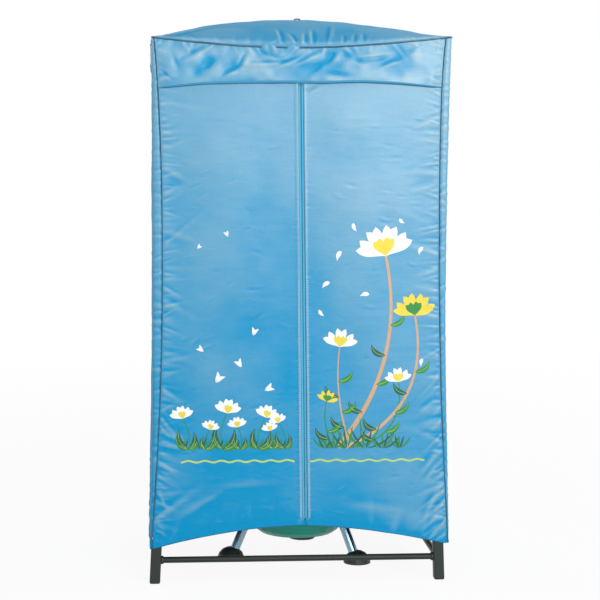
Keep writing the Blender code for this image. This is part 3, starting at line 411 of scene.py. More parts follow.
def satin(look):
    """Thin coated nylon: its coating shines high up and has dulled near the hem."""
    s = Shade("cover_satin")
    where, uv, fold = s.where(), s.uv(), s.fact("fold")
    x, y, z = s.split(where)
    u, v, _ = s.split(uv)
    rise = ((z - HEM_Z) / (TOP_Z - HEM_Z)).clamp()
    patches = s.noise(where, 3.4, 2.0, 0.5, 0.4)
    clouds = s.noise(where, 11.0, 3.0, 0.55)
    weft = s.noise(s.stretch(uv, (26.0, 330.0, 1.0)), 1.0, 2.0)
    warp = s.noise(s.stretch(uv, (300.0, 20.0, 1.0)), 1.0, 2.0)
    crumple = s.noise(s.stretch(where, (1.0, 1.0, 2.0)), 46.0, 4.0, 0.62, 0.3)
    ripple = s.noise(s.stretch(where, (1.0, 1.0, 3.0)), 15.0, 3.0, 0.5, 0.5)
    weave = u.wave(0.0011) * v.wave(0.0011)
    upright = y.math('ABSOLUTE').step(0.250, 0.264)
    hem = (z - (x / SEAM_X_HEM).math('ABSOLUTE') ** HEM_POWER * -HEM_RISE).step(0.140, 0.200)

    def spot(at_x, at_z, wide, tall):
        """1 in the middle of a soft round spot on the front, falling to 0 at its rim."""
        across, up = (x - at_x) / wide, (z - at_z) / tall
        return (1 - (across * across + up * up).step(0.0, 1.0)) * upright

    # Painted sheen and shade: the colour grows paler high up, to the right, on the folds' ridges
    # and in the paler spot, and deeper in the folds' valleys, near the hem and in the deeper
    # spots; patches and clouds vary the tone at random
    painted_sheen, painted_shade = spot(*PAINTED_SHEEN_SPOT), spot(*PAINTED_SHADE_SPOT) + spot(*PAINTED_SHADE_FLAP_SPOT) * 1.9
    pale = (rise * (upright * 0.34 + 0.27) + (patches - 0.5) * 0.24 * upright + x * rise * 0.30
            + (clouds - 0.5) * 0.16 + (fold - 0.5) * 1.1 + (hem - 1.0) * 0.25
            + painted_sheen * 0.27 - painted_shade * 0.15).clamp()
    base = s.mix(look.deep, look.pale, pale)
    base = s.mix(base, tint(look.deep, 0.72), (weft * warp * 1.5 - 0.30).clamp() * 0.30)
    coating = (upright * hem * (rise ** 0.8 * 0.72 + 0.22 + (patches - 0.5) * 0.35 + x * 0.5
                                + (fold - 0.5) * 0.7 - painted_shade * 0.22).clamp()
               + (1 - upright) * 0.05)
    fine = s.bump(weave * 0.4 + weft * 0.7 + warp * 0.6, 0.00035, 0.6)
    low = s.bump(crumple, 0.0030, 0.40, fine)
    normal = s.bump(ripple, 0.0045, 0.50, low)
    return s.done(base, 0.50 + weft * 0.10 + clouds * 0.08, normal, look.deep,
                  Specular_IOR_Level=0.09, Coat_Weight=coating, Coat_Roughness=0.33)


def twill(name, rgb, pitch, gloss=0.62):
    """Narrow woven goods: cord covers and tapes, ribbed aslant along their own length."""
    s = Shade(name)
    u, v, _ = s.split(s.uv())
    rib = (u + v * 0.9).wave(pitch) * 0.5 + 0.5
    fuzz = s.noise(s.where(), 420.0, 3.0, 0.6)
    base = s.mix(tint(rgb, 0.62), tint(rgb, 1.18), (rib * 0.55 + fuzz * 0.45).clamp())
    return s.done(base, gloss + fuzz * 0.12, s.bump(rib + fuzz * 0.6, 0.0003, 0.7), rgb,
                  Sheen_Weight=0.15)


def thread(name, rgb):
    """Twisted thread, a little uneven in colour."""
    s = Shade(name)
    ply = s.noise(s.where(), 900.0, 2.0)
    base = s.mix(tint(rgb, 0.75), tint(rgb, 1.15), ply)
    return s.done(base, 0.5 + ply * 0.15, s.bump(ply, 0.0002, 0.5), rgb)


def ink(name, rgb):
    """Screen print: flat ink that keeps the grain of the cloth and thins here and there."""
    s = Shade(name)
    where = s.where()
    grain = s.noise(s.stretch(where, (320.0, 320.0, 60.0)), 1.0, 2.0)
    thin = s.noise(where, 60.0, 3.0)
    base = s.mix(rgb, tint(rgb, 0.86), (thin.step(0.45, 0.75) * 0.5 + grain * 0.3).clamp())
    return s.done(base, 0.42 + grain * 0.12, s.bump(grain, 0.0002, 0.5), rgb)


def moulded(name, rgb, grain, gloss, rubbed):
    """Moulded plastic: fine spark-eroded grain, dull scuffs and a little dust in the hollows."""
    s = Shade(name)
    where = s.where()
    fine = s.noise(where, grain, 2.0, 0.6)
    flow = s.noise(where, 14.0, 3.0, 0.5, 0.6)
    rub = s.noise(s.stretch(where, (1.0, 1.0, 0.35)), 70.0, 5.0, 0.7).step(0.58, 0.74)
    base = s.mix(tint(rgb, 0.88), tint(rgb, 1.14), flow)
    base = s.mix(base, tint(rgb, rubbed), rub * 0.35)
    return s.done(base, gloss + fine * 0.08 + rub * 0.12, s.bump(fine, 0.00022, 0.55), rgb)


def painted(name, rgb):
    """Baked enamel on steel tube: slight orange peel and fine scratches along the tube."""
    s = Shade(name)
    where = s.where()
    peel = s.noise(where, 260.0, 2.0)
    scratch = s.noise(s.stretch(where, (12.0, 12.0, 900.0)), 1.0, 3.0, 0.7).step(0.62, 0.72)
    dull = s.noise(where, 18.0, 3.0)
    base = s.mix(rgb, tint(rgb, 2.4), scratch * 0.35 + dull * 0.06)
    return s.done(base, 0.36 + dull * 0.14 + scratch * 0.1, s.bump(peel, 0.00025, 0.35), rgb,
                  Specular_IOR_Level=0.32)


def bright(name, rgb, rough):
    """Plated or bare metal: drawn lines, soft smudges."""
    s = Shade(name)
    where = s.where()
    drawn = s.noise(s.stretch(where, (8.0, 8.0, 700.0)), 1.0, 3.0, 0.6)
    smudge = s.noise(where, 24.0, 4.0, 0.6)
    base = s.mix(tint(rgb, 0.80), rgb, (drawn * 0.5 + smudge * 0.6).clamp())
    return s.done(base, rough + smudge * 0.10 + drawn * 0.05, s.bump(drawn, 0.0001, 0.35), rgb,
                  Metallic=1.0)


def swirled(name, rgb):
    """Glossy moulded bowl: two greens and a warm streak that ran in the mould."""
    s = Shade(name)
    where = s.where()
    run = s.noise(s.stretch(where, (1.0, 1.0, 3.2)), 9.0, 4.0, 0.55, 1.6)
    warm = s.noise(s.stretch(where, (1.4, 1.4, 4.0)), 5.0, 3.0, 0.5, 1.2).step(0.60, 0.78)
    fine = s.noise(where, 700.0, 2.0)
    base = s.mix(tint(rgb, 0.62), tint(rgb, 1.35), run)
    base = s.mix(base, srgb(158, 152, 146), warm * 0.30)
    return s.done(base, 0.30 + run * 0.08 + fine * 0.04, s.bump(fine, 0.0001, 0.4), rgb,
                  Specular_IOR_Level=0.22)


# Numbers over grids
def lerp(a, b, t):
    return a + (b - a) * t


def share(t):
    return np.clip(t, 0.0, 1.0)


def ease(t):
    t = share(t)
    return t * t * (3 - 2 * t)


def height_share(z):
    return share((z - HEM_Z) / (TOP_Z - HEM_Z))


def seam(side, z):
    """How far out the corner seam runs, on the left for side -1."""
    s = height_share(z)
    solid = (lerp(SEAM_X_HEM, SEAM_X_TOP, s) - SEAM_DRAW * np.sin(np.pi * s)
             + SEAM_CORNER * s ** SEAM_CORNER_POWER)
    return solid + np.interp(z, DRIFT_Z, SEAM_DRIFT[side]) / 1000


def panel_x(side, z):
    """How far out the side panel stands."""
    s = height_share(z)
    solid = SIDE_X + SIDE_FLARE_HEM * (1 - s) ** 3 + SIDE_FLARE_TOP * s ** 2
    return solid + np.interp(z, DRIFT_Z, PANEL_DRIFT[side]) / 1000


def hem_z(x):
    arch = HEM_RISE * (1 - share(np.abs(x) / SEAM_X_HEM) ** HEM_POWER)
    return HEM_Z + arch + np.interp(x, HEM_LIFT_X, HEM_LIFT) / 1000


def valance_z(x):
    arch = VALANCE_RISE * (1 - share(np.abs(x) / SEAM_X_TOP) ** 2)
    return VALANCE_Z + arch + np.interp(x, LIFT_X, FLAP_LIFT) / 1000


def dome_z(x, y, full=0.0):
    """The domed top; full makes it fuller towards its edges, as the air inside does."""
    a, b = 1 - share(np.abs(x) / TOP_X) ** 2, 1 - share(np.abs(y) / FRONT_Y) ** 2
    dome = TOP_Z - SEAM_SAG * a * (1 - b) - SIDE_SAG * b * (1 - a) + DOME_RISE * a * b
    dome = dome + np.interp(x, LIFT_X, CROWN_LIFT) / 1000 * (1 - 0.7 * b)
    return dome + full * ((a * b) ** 0.6 - a * b)


def zip_x(z):
    return lerp(ZIP_X_HEM, ZIP_X_TOP, (z - ZIP_Z_HEM) / (ZIP_Z_TOP - ZIP_Z_HEM))


def half_gap(z):
    """From the zip's line to a door's edge; the doors meet below the end of the zip."""
    return lerp(CLOSED_GAP, ZIP_OPEN / 2, ease((z - ZIP_Z_HEM + 0.004) / 0.010))


def waves(a, b, size, seed):
    """Smooth random humps from -1 to 1 over two coordinates, each about this size."""
    table = np.random.default_rng(seed).uniform(-1, 1, (64, 64))
    a, b = a / size, b / size
    i, j = np.floor(a).astype(int), np.floor(b).astype(int)
    p, q = ease(a - i), ease(b - j)
    low = lerp(table[i % 64, j % 64], table[(i + 1) % 64, j % 64], p)
    high = lerp(table[i % 64, (j + 1) % 64], table[(i + 1) % 64, (j + 1) % 64], p)
    return lerp(low, high, q)


def beyond(distance, reach):
    """0 at an edge, rising to 1 well beyond this reach."""
    return 1 - np.exp(-distance / reach)


def hump(distance, width, power=2):
    return np.exp(-(distance / width) ** power)


def puckers(along, off_seam, look, kind, seed):
    """Short folds that run away from a seam, where the thread has gathered the cloth."""
    pitch, width, reach, depth, slant, lean = GATHERS[kind]
    rng = np.random.default_rng(seed)
    total = np.zeros_like(along)
    at = along.min()
    while at < along.max():
        at += pitch / 1000 * rng.uniform(0.45, 1.6)
        wide = width / 1000 * rng.uniform(0.7, 1.4)
        far = reach / 1000 * rng.uniform(0.5, 1.6)
        deep = depth * look.pucker * rng.uniform(0.25, 1.25)
        off = (along - at - rng.normal(lean, slant) * off_seam) / wide
        total += deep * (hump(off, 1) - 0.55 * hump(off - 1.8, 1)) * hump(off_seam, far)
    return total * beyond(off_seam, 0.003)


def creases(a, b, rows):
    """Folds along short lines; a row is a0, b0, a1, b1, width and height, in mm."""
    total = np.zeros_like(a)
    for row in rows:
        a0, b0, a1, b1, width, height = np.array(row) / 1000
        da, db = a1 - a0, b1 - b0
        run = math.hypot(da, db)
        t = ((a - a0) * da + (b - b0) * db) / run ** 2
        off = ((a - a0) * db - (b - b0) * da) / run
        past = np.abs(t - share(t)) * run
        fade = (0.35 + 0.65 * np.sin(np.pi * share(t))) * hump(past, 2 * width)
        total += height * fade * (hump(off, width) - 0.6 * hump(off - 2 * width, 1.4 * width))
    return total


def crinkles(a, b, seed, count, long, width, depth):
    """Small scattered creases, most of them level; lengths in mm."""
    rng = np.random.default_rng(seed)
    rows = []
    for _ in range(count):
        x, y = rng.uniform(a.min(), a.max()) * 1000, rng.uniform(b.min(), b.max()) * 1000
        run, turn = long * rng.uniform(0.4, 1.5), rng.normal(0, 0.35)
        rows.append((x, y, x + run * math.cos(turn), y + run * math.sin(turn),
                     width * rng.uniform(0.7, 1.4),
                     depth * rng.choice((-1, 1)) * rng.uniform(0.4, 1.3)))
    return creases(a, b, rows)


def raw_normals(points):
    n = np.cross(np.gradient(points, axis=0), np.gradient(points, axis=1))
    return n / np.maximum(np.linalg.norm(n, axis=2, keepdims=True), 1e-12)


def faces_away(points, out):
    """Whether the grid's raw normals point away from out."""
    return (raw_normals(points) * np.asarray(out, float)).sum() < 0


def folded(points, out, relief, broad=0.0):
    """A panel pushed out by its relief, and how far each point is up a ridge.

    broad is the part of the relief that is too wide to shade as a ridge.
    """
    fold = np.clip((relief - 0.75 * broad) / FOLD_FULL, -1, 1) * 0.5 + 0.5
    normal = raw_normals(points) * (-1 if faces_away(points, out) else 1)
    return points + normal * relief[..., None], fold


# Mesh building
def link(obj):
    bpy.context.scene.collection.objects.link(obj)
    return obj


def mesh_object(name, verts, faces, mats, uv=None, face_mats=None, fold=0.5):
    """A mesh object at the origin; uv is one pair a vertex, in metres.

    fold is 0 in a valley of the cloth, 1 on a ridge.
    """
    mesh = bpy.data.meshes.new(name)
    mesh.from_pydata(np.asarray(verts, float).tolist(), [], faces)
    for mat in mats:
        mesh.materials.append(mat)
    if uv is not None:
        layer = mesh.uv_layers.new(name="cloth")
        corners = np.zeros(len(mesh.loops), int)
        mesh.loops.foreach_get("vertex_index", corners)
        layer.data.foreach_set("uv", np.asarray(uv, np.float32)[corners].ravel())
        kept = np.broadcast_to(np.asarray(fold, np.float32).ravel(), len(mesh.vertices))
        mesh.attributes.new("fold", 'FLOAT', 'POINT').data.foreach_set("value", kept)
    if face_mats is not None:
        mesh.polygons.foreach_set("material_index", face_mats)
    mesh.validate()
    mesh.shade_smooth()
    return link(bpy.data.objects.new(name, mesh))


def grid_faces(across, up, flip, skip=None):
    faces = []
    for i in range(across - 1):
        for j in range(up - 1):
            if skip is None or not skip(i, j):
                a, b = i * up + j, (i + 1) * up + j
                faces.append((a, b, b + 1, a + 1)[::-1 if flip else 1])
    return faces


def ring_faces(rings, sides, closed=False):
    """Quads between rings of points; closed also joins the last ring to the first."""
    return [(i * sides + j, i * sides + (j + 1) % sides,
             (i + 1) % rings * sides + (j + 1) % sides, (i + 1) % rings * sides + j)
            for i in range(rings if closed else rings - 1) for j in range(sides)]


def outward(verts, faces):
    """The faces of a closed body, all turned over if they look inwards."""
    thirds = np.array([(f[0], b, c) for f in faces for b, c in zip(f[1:-1], f[2:])])
    a, b, c = verts[thirds].transpose(1, 0, 2)
    return faces if (a * np.cross(b, c)).sum() > 0 else [face[::-1] for face in faces]


def run_lengths(points, axis):
    """Mean length along a grid's lines, from 0."""
    steps = np.linalg.norm(np.diff(points, axis=axis), axis=2).mean(axis=1 - axis)
    return np.concatenate([[0], np.cumsum(steps)])


def sheet(name, panel, out, mat, skip=None):
    """Cloth over a panel's grid of points, with a real thickness on its inner side."""
    points, fold = panel
    lengths = run_lengths(points, 0), run_lengths(points, 1)
    uv = np.stack(np.meshgrid(*lengths, indexing="ij"), axis=-1).reshape(-1, 2)
    faces = grid_faces(*points.shape[:2], faces_away(points, out), skip)
    obj = mesh_object(name, points.reshape(-1, 3), faces, [mat], uv, fold=fold)
    wall = obj.modifiers.new("thickness", 'SOLIDIFY')
    wall.thickness = SHEET_T
    wall.offset = -1
    return obj


def unit(rows):
    return rows / np.linalg.norm(rows, axis=1, keepdims=True)


def sweep(name, points, mat, half_w, half_t=None, thin=(0.0, 1.0, 0.0), sides=10):
    """A rod along points, or a flat band that is thin in this direction."""
    points = np.asarray(points, float)
    count = len(points)
    tangent = unit(np.gradient(points, axis=0))
    thin = np.broadcast_to(np.asarray(thin, float), points.shape)
    thin = unit(thin - (thin * tangent).sum(axis=1, keepdims=True) * tangent)
    wide = np.cross(tangent, thin)
    half_w = np.broadcast_to(half_w, count)
    half_t = np.broadcast_to(half_w if half_t is None else half_t, count)
    angle = 2 * np.pi * np.arange(sides) / sides
    rings = (points[:, None] + wide[:, None] * (half_w[:, None] * np.cos(angle))[..., None]
             + thin[:, None] * (half_t[:, None] * np.sin(angle))[..., None]).reshape(-1, 3)
    ends = [tuple(reversed(range(sides))), tuple((count - 1) * sides + j for j in range(sides))]
    lengths = angle * float(half_w.mean()), run_lengths(points[:, None], 0)
    uv = np.stack(np.meshgrid(*lengths, indexing="xy"), axis=-1).reshape(-1, 2)
    faces = outward(rings, ring_faces(count, sides) + ends)
    return mesh_object(name, rings, faces, [mat], uv)


def turned(name, profile, centre, axis, mat, sides):
    """A ring whose closed profile, rows of (radius, height), goes once round an axis."""
    radius, height = np.asarray(profile, float).T
    angle = 2 * np.pi * np.arange(sides)[:, None] / sides
    rings = np.zeros((sides, len(profile), 3))
    rings[..., (axis + 1) % 3] = radius * np.cos(angle)
    rings[..., (axis + 2) % 3] = radius * np.sin(angle)
    rings[..., axis] = height
    verts = rings.reshape(-1, 3) + np.asarray(centre)
    faces = outward(verts, ring_faces(sides, len(profile), True))
    return mesh_object(name, verts, faces, [mat])


def joined(name, pieces):
    """Several finished pieces made one, each keeping its materials."""
    verts, faces, uvs, mats, index = [], [], [], [], []
    for piece in pieces:
        mesh = piece.data
        start = len(verts)
        verts += [tuple(v.co) for v in mesh.vertices]
        slots = []
        for mat in mesh.materials:
            if mat not in mats:
                mats.append(mat)
            slots.append(mats.index(mat))
        point_uv = [(0.0, 0.0)] * len(mesh.vertices)
        if mesh.uv_layers:
            for loop, datum in zip(mesh.loops, mesh.uv_layers[0].data):
                point_uv[loop.vertex_index] = tuple(datum.uv)
        uvs += point_uv
        for face in mesh.polygons:
            faces.append([start + v for v in face.vertices])
            index.append(slots[face.material_index])
        bpy.data.objects.remove(piece)
    return mesh_object(name, verts, faces, mats, uvs, index)


def worn(obj, body, slot, *nodes):
    """The piece moves with a body, takes a finish slot, and may stand for CAD nodes.

    The cloth of a door stays sewn at its corner seam and bends round to where the door opens.
    """
    if slot == "cover_cloth" and body != "stand":
        side = -1 if body == "left_door" else 1
        side * SEWN_X
        side * FREE_X
        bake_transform(obj)
    else:
        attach(obj, body)
    if nodes:
        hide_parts(*nodes)
    return obj


# Repeats along lines
def repeat_tree():
    """Geometry Nodes: one small rounded body at every step along the lines of a mesh."""
    tree = bpy.data.node_groups.new("small_bodies_along_lines", 'GeometryNodeTree')
    for name, kind in (("Geometry", 'Geometry'), ("Pitch", 'Float'), ("Half Size", 'Vector'),
                       ("Turn", 'Float'), ("Seed", 'Int'), ("Finish", 'Material')):
        tree.interface.new_socket(name, in_out='INPUT', socket_type=f"NodeSocket{kind}")
    tree.interface.new_socket("Geometry", in_out='OUTPUT', socket_type='NodeSocketGeometry')

    def add(kind, settings=None, sockets=None):
        return add_node(tree, kind, settings, sockets)

    given = tree.nodes.new('NodeGroupInput').outputs
    curve = add('GeometryNodeMeshToCurve', sockets={0: given["Geometry"]})
    points = add('GeometryNodeCurveToPoints', {"mode": 'LENGTH'},
                 {"Curve": curve.outputs[0], "Length": given["Pitch"]})
    aligned = add('FunctionNodeAlignRotationToVector', {"axis": 'Z'},
                  {"Vector": points.outputs["Tangent"]})
    least = add('ShaderNodeMath', {"operation": 'MULTIPLY'}, {0: given["Turn"], 1: -1.0})
    shake = add('FunctionNodeRandomValue', {"data_type": 'FLOAT'},
                {2: least.outputs[0], 3: given["Turn"], "Seed": given["Seed"]})
    tip = add('FunctionNodeAxisAngleToRotation', sockets={"Axis": (0, 1, 0),
                                                          "Angle": shake.outputs[1]})
    turn = add('FunctionNodeRotateRotation', {"rotation_space": 'LOCAL'},
               {0: aligned.outputs[0], 1: tip.outputs[0]})
    ball = add('GeometryNodeMeshUVSphere', sockets={"Segments": 6, "Rings": 5, "Radius": 1.0})
    placed = add('GeometryNodeInstanceOnPoints', sockets={
        "Points": points.outputs["Points"], "Instance": ball.outputs["Mesh"],
        "Rotation": turn.outputs[0], "Scale": given["Half Size"]})
    real = add('GeometryNodeRealizeInstances', sockets={0: placed.outputs[0]})
    finish = add('GeometryNodeSetMaterial', sockets={0: real.outputs[0],
                                                     "Material": given["Finish"]})
    last = tree.nodes.new('NodeGroupOutput')
    tree.links.new(finish.outputs[0], last.inputs[0])
    return tree


def repeat(name, lines, pitch, half_size, finish, turn=0.0):
    """Small bodies along lines of points, turned into one plain mesh."""
    tree = bpy.data.node_groups.get("small_bodies_along_lines") or repeat_tree()
    verts, edges = [], []
    for line in lines:
        start = len(verts)
        verts += [tuple(p) for p in line]
        edges += [(start + i, start + i + 1) for i in range(len(line) - 1)]
    mesh = bpy.data.meshes.new(name)
    mesh.from_pydata(verts, edges, [])
    obj = link(bpy.data.objects.new(name, mesh))
    mod = obj.modifiers.new("repeat", 'NODES')
    mod.node_group = tree
    values = {"Pitch": pitch, "Half Size": half_size, "Turn": turn, "Seed": 3, "Finish": finish}
    for item in tree.interface.items_tree:
        if item.in_out == 'INPUT' and item.name in values:
            mod[item.identifier] = values[item.name]
    graph = bpy.context.evaluated_depsgraph_get()
    made = bpy.data.meshes.new_from_object(obj.evaluated_get(graph), depsgraph=graph)
    obj.modifiers.clear()
    obj.data = made
    made.shade_smooth()
    if len(made.polygons) == 0:
        raise RuntimeError(f"{name} came out empty")
    return obj


# Cover panels
def spaced(count, pull=0.0):
    """From 0 to 1, closer together near both ends as pull grows."""
    t = np.linspace(0, 1, count)
    return lerp(t, 0.5 - 0.5 * np.cos(np.pi * t), pull)


def settle(across, up, pull, heights, edges_x, edges_z):
    """A grid of x and z between four curved edges, with its shares u across and v up."""
    u, v = spaced(across, pull)[:, None], spaced(up)[None, :]
    z = lerp(*heights, v) * np.ones_like(u)
    for _ in range(5):
        x = lerp(*edges_x(z), u)
        z = lerp(*edges_z(x), v)
    return u, v, x, z


def door_points(side, look):
    u, v, x, z = settle(
        62, 440, 0.55, (HEM_Z, VALANCE_Z),
        lambda z: (side * (seam(side, z) + DOOR_TUCK), zip_x(z) + side * half_gap(z)),
        lambda x: (hem_z(x), valance_z(x) - DOOR_TOP_GAP))
    belly = DOOR_BELLY * np.sin(np.pi * u) ** 2 * np.sin(np.pi * share(v)) ** 0.7
    in_x = np.abs(side * seam(side, z) - x)
    edge = np.abs(x - zip_x(z) - side * half_gap(z))
    low = 1 - height_share(z)
    kept = beyond(in_x, 0.02) * beyond(edge, 0.03) * ease((1 - v) * 12)
    broad = look.swell * kept * (waves(x, z, 0.11, 11 + side)
                                 + 0.3 * waves(x, z, 0.045, 21 + side))
    relief = broad + 0.10 * look.swell * kept * waves(x, z * 2.6, 0.030, 31 + side)
    relief += kept * crinkles(x, z, 36 + side, 130, 20, 2.6, 0.6)
    relief += puckers(z, in_x, look, "door_seam", 41 + side)
    relief += (0.5 + 0.7 * low) * puckers(z, in_x, look, "door_seam_long", 51 + side)
    relief += ease((0.62 - z) / 0.30) * puckers(z, in_x, look, "door_corner", 56 + side)
    relief += (0.4 + low) * puckers(z, edge, look, "door_zip", 61 + side)
    open_share = half_gap(z) / (ZIP_OPEN / 2)
    relief += ZIP_SEAM_OUT * open_share * (0.70 + low) * hump(edge - 0.0042, 0.0030)
    relief += creases(x, z, DOOR_CREASES[side])
    relief += puckers(x, z - hem_z(x), look, "hem", 71 + side)
    points = np.stack([x, -(FRONT_Y + belly), z], axis=-1)
    return folded(points, (0, -1, 0), relief, broad)


def valance_points(look):
    u, v, x, z = settle(
        270, 50, 0.25, (VALANCE_Z, TOP_Z),
        lambda z: (-(seam(-1, z) + DOOR_TUCK), seam(1, z) + DOOR_TUCK),
        lambda x: (valance_z(x), dome_z(x, FRONT_Y) - FLAP_TUCK))
    out = VALANCE_OUT * (1 - ease((z - VALANCE_BLEND_Z) / VALANCE_BLEND))
    out = out + FLAP_FULL * np.sin(np.pi * u) ** 0.5 * (1 - ease(v * 2.5))
    in_x = np.maximum(np.minimum(x + seam(-1, z), seam(1, z) - x), 0)
    out = out * ease(in_x / 0.030)
    top = dome_z(x, FRONT_Y) - FLAP_TUCK - z
    kept = beyond(in_x, 0.02) * beyond(top, 0.010)
    relief = look.swell * kept * (1.1 * waves(x, z * 1.6, 0.060, 81)
                                  + 0.6 * waves(x, z, 0.022, 82))
    relief += kept * creases(x, z, VALANCE_CREASES)
    relief += puckers(x, top, look, "flap_top", 83)
    relief += puckers(z, in_x, look, "flap_end", 84)
    relief = np.maximum(relief, -0.0012 - 0.0030 * ease((np.abs(x) - 0.02) / 0.03))
    over = (hump(x + 0.026, 0.013) + hump(x + 0.086, 0.016, 4)) * ease((v - 0.80) / 0.20)
    points, fold = folded(np.stack([x, -(FRONT_Y + out), z], axis=-1), (0, -1, 0), relief)
    return points + over[..., None] * OVER_CORD, fold


def back_points(look):
    u, v, x, z = settle(
        110, 400, 0.4, (HEM_Z, TOP_Z),
        lambda z: (-seam(-1, z) - DOOR_TUCK, seam(1, z) + DOOR_TUCK),
        lambda x: (hem_z(x), dome_z(x, FRONT_Y) - FLAP_TUCK))
    swell = BACK_SWELL * np.sin(np.pi * u) ** 2 * np.sin(np.pi * v)
    in_x = np.minimum(x + seam(-1, z), seam(1, z) - x)
    top = dome_z(x, FRONT_Y) - FLAP_TUCK - z
    kept = beyond(np.maximum(in_x, 0), 0.02) * beyond(top, 0.02)
    broad = look.swell * kept * (waves(x, z, 0.12, 91) + 0.6 * waves(x, z, 0.05, 92))
    relief = broad + puckers(x, top, look, "back_top", 99)
    for side in (-1, 1):
        near = np.abs(side * seam(side, z) - x)
        relief += puckers(z, near, look, "back_seam", 93 + side)
        relief += puckers(z, near, look, "back_seam_long", 97 + side)
    relief += puckers(x, z - hem_z(x), look, "hem", 101)
    return folded(np.stack([x, FRONT_Y + swell, z], axis=-1), (0, 1, 0), relief, broad)


def side_points(side, look):
    along = np.linspace(-1, 1, 120)[:, None]
    v = spaced(380)[None, :]
    turn = np.pi / 2 * (1 - share((np.abs(along) - SIDE_FLAT) / (1 - SIDE_FLAT)))
    corner_y = lerp(SPAN_Y / 2, FRONT_Y, np.maximum(np.cos(turn), 0) ** SIDE_ROUNDING)
    is_flat = np.abs(along) <= SIDE_FLAT
    y = np.where(is_flat, np.abs(along) / SIDE_FLAT * SPAN_Y / 2, corner_y) * np.sign(along)
    middle = 1 - share(np.abs(y) / FRONT_Y) ** 2
    z = lerp(hem_z(side * TOP_X) + SIDE_HEM_RISE * middle, dome_z(side * TOP_X, y) - EDGE_DROP, v)
    start_x = seam(side, z) + SIDE_TUCK
    fitted = ease((z - FITTING_LOW_Z) / 0.015) * ease((np.abs(y) - FITTING_IN_Y) / 0.02)
    frame_x = lerp(POST_FACE_X, FITTING_FACE_X, fitted)
    full_x = np.maximum(np.maximum(panel_x(side, z), start_x + CLOTH_T), frame_x)
    belly = 0.2 * SIDE_BELLY * middle * np.sin(np.pi * v)
    x = lerp(start_x, full_x, np.maximum(np.sin(turn), 0) ** SIDE_ROUNDING) + belly
    y = np.broadcast_to(y, z.shape)
    top = dome_z(side * TOP_X, y) - EDGE_DROP - z
    in_x = full_x - x + belly
    kept = beyond(FRONT_Y - np.abs(y) + in_x, 0.03) * beyond(top, 0.02)
    broad = look.swell * kept * (1.2 * waves(y, z, 0.10, 111 + side)
                                 + 0.6 * waves(y, z, 0.04, 113 + side))
    relief = broad + puckers(y, top, look, "side_top", 131 + side)
    for sign in (-1, 1):
        near = np.abs(sign * FRONT_Y - y) + 0.6 * in_x
        relief += puckers(z, near, look, "side_seam", 121 + side + 3 * sign)
    least = np.where(is_flat, frame_x - x, -0.004 * (1 - fitted))
    points = np.stack([side * x, y, z], axis=-1)
    return folded(points, (side, 0, 0), np.maximum(relief, least), broad)


def top_points(look):
    a, b = np.meshgrid(np.linspace(-1, 1, 230), np.linspace(-1, 1, 160), indexing="ij")
    corner = np.abs(a * b) ** 10
    x, y = TOP_X * a * (1 - 0.006 * corner), FRONT_Y * b * (1 - 0.008 * corner)
    points = np.stack([x, y, dome_z(TOP_X * a, FRONT_Y * b, CROWN_FULL)], axis=-1)
    front, side = FRONT_Y * (1 - np.abs(b)), TOP_X * (1 - np.abs(a))
    kept = beyond(front, 0.015) * beyond(side, 0.015)
    broad = look.swell * kept * (1.6 * waves(x, y, 0.10, 141) + 0.8 * waves(x, y, 0.04, 142))
    relief = broad + beyond(front, 0.004) * creases(x, y, TOP_CREASES)
    relief += puckers(x, front, look, "crown_front", 143)
    relief += puckers(y, side, look, "crown_side", 144)
    return folded(points, (0, 0, 1), relief, broad)


def dress_cover(context):
    """Back, sides, domed top and front flap, each one sheet of cloth."""
    look = context.scene.dryer_cover
    cloth = satin(look)
    for name, points, out, node, flat in (
            ("cover_back_cloth", back_points(look), (0, 1, 0), "cover_back", (0.75, 1.29)),
            ("cover_left_cloth", side_points(-1, look), (-1, 0, 0), "cover_left", (0.55, 1.29)),
            ("cover_right_cloth", side_points(1, look), (1, 0, 0), "cover_right", (0.55, 1.29)),
            ("cover_top_cloth", top_points(look), (0, 0, 1), "cover_top", (0.77, 0.56)),
            ("front_flap_cloth", valance_points(look), (0, -1, 0), "front_valance",
             (0.74, 0.13))):
        obj = worn(sheet(name, points, out, cloth), "stand", "cover_cloth", node)
        "hung" if node != "cover_top" else "stretched"
    for name, side, body in DOORS:
        obj = worn(sheet(f"door_{name}_cloth", door_points(side, look), (0, -1, 0), cloth),
                   body, "cover_cloth", f"door_{name}")


# Trim
def tree_of(mesh):
    return BVHTree.FromPolygons([v.co for v in mesh.vertices], [p.vertices for p in mesh.polygons])


def cloth_tree(name):
    return tree_of(bpy.data.objects[name].data)


def corner_cord(side, face):
    """Up one corner seam, a little uneven, to the top seam."""
    top = float(dome_z(side * TOP_X, FRONT_Y)) - PIPING_Z_DROP
    z = np.linspace(hem_z(side * TOP_X), top, 220)
    x = side * (seam(side, z) + PIPING_OUT + 0.0006 * waves(z, z, 0.03, 151 + side + face))
    return np.stack([x, np.full_like(z, face * PIPING_Y), z], axis=1)


def crown_cord(face):
    """Along the sagging top seam from corner to corner, its cut ends just past the seams."""
    x = np.linspace(-TOP_X, TOP_X, 180)
    z = dome_z(x, FRONT_Y) - 0.7 * PIPING_Z_DROP + 0.0008 * waves(x, x, 0.05, 155 + face)
    return np.stack([x, np.full_like(x, face * (PIPING_Y + CROWN_CORD_OUT)), z], axis=1)


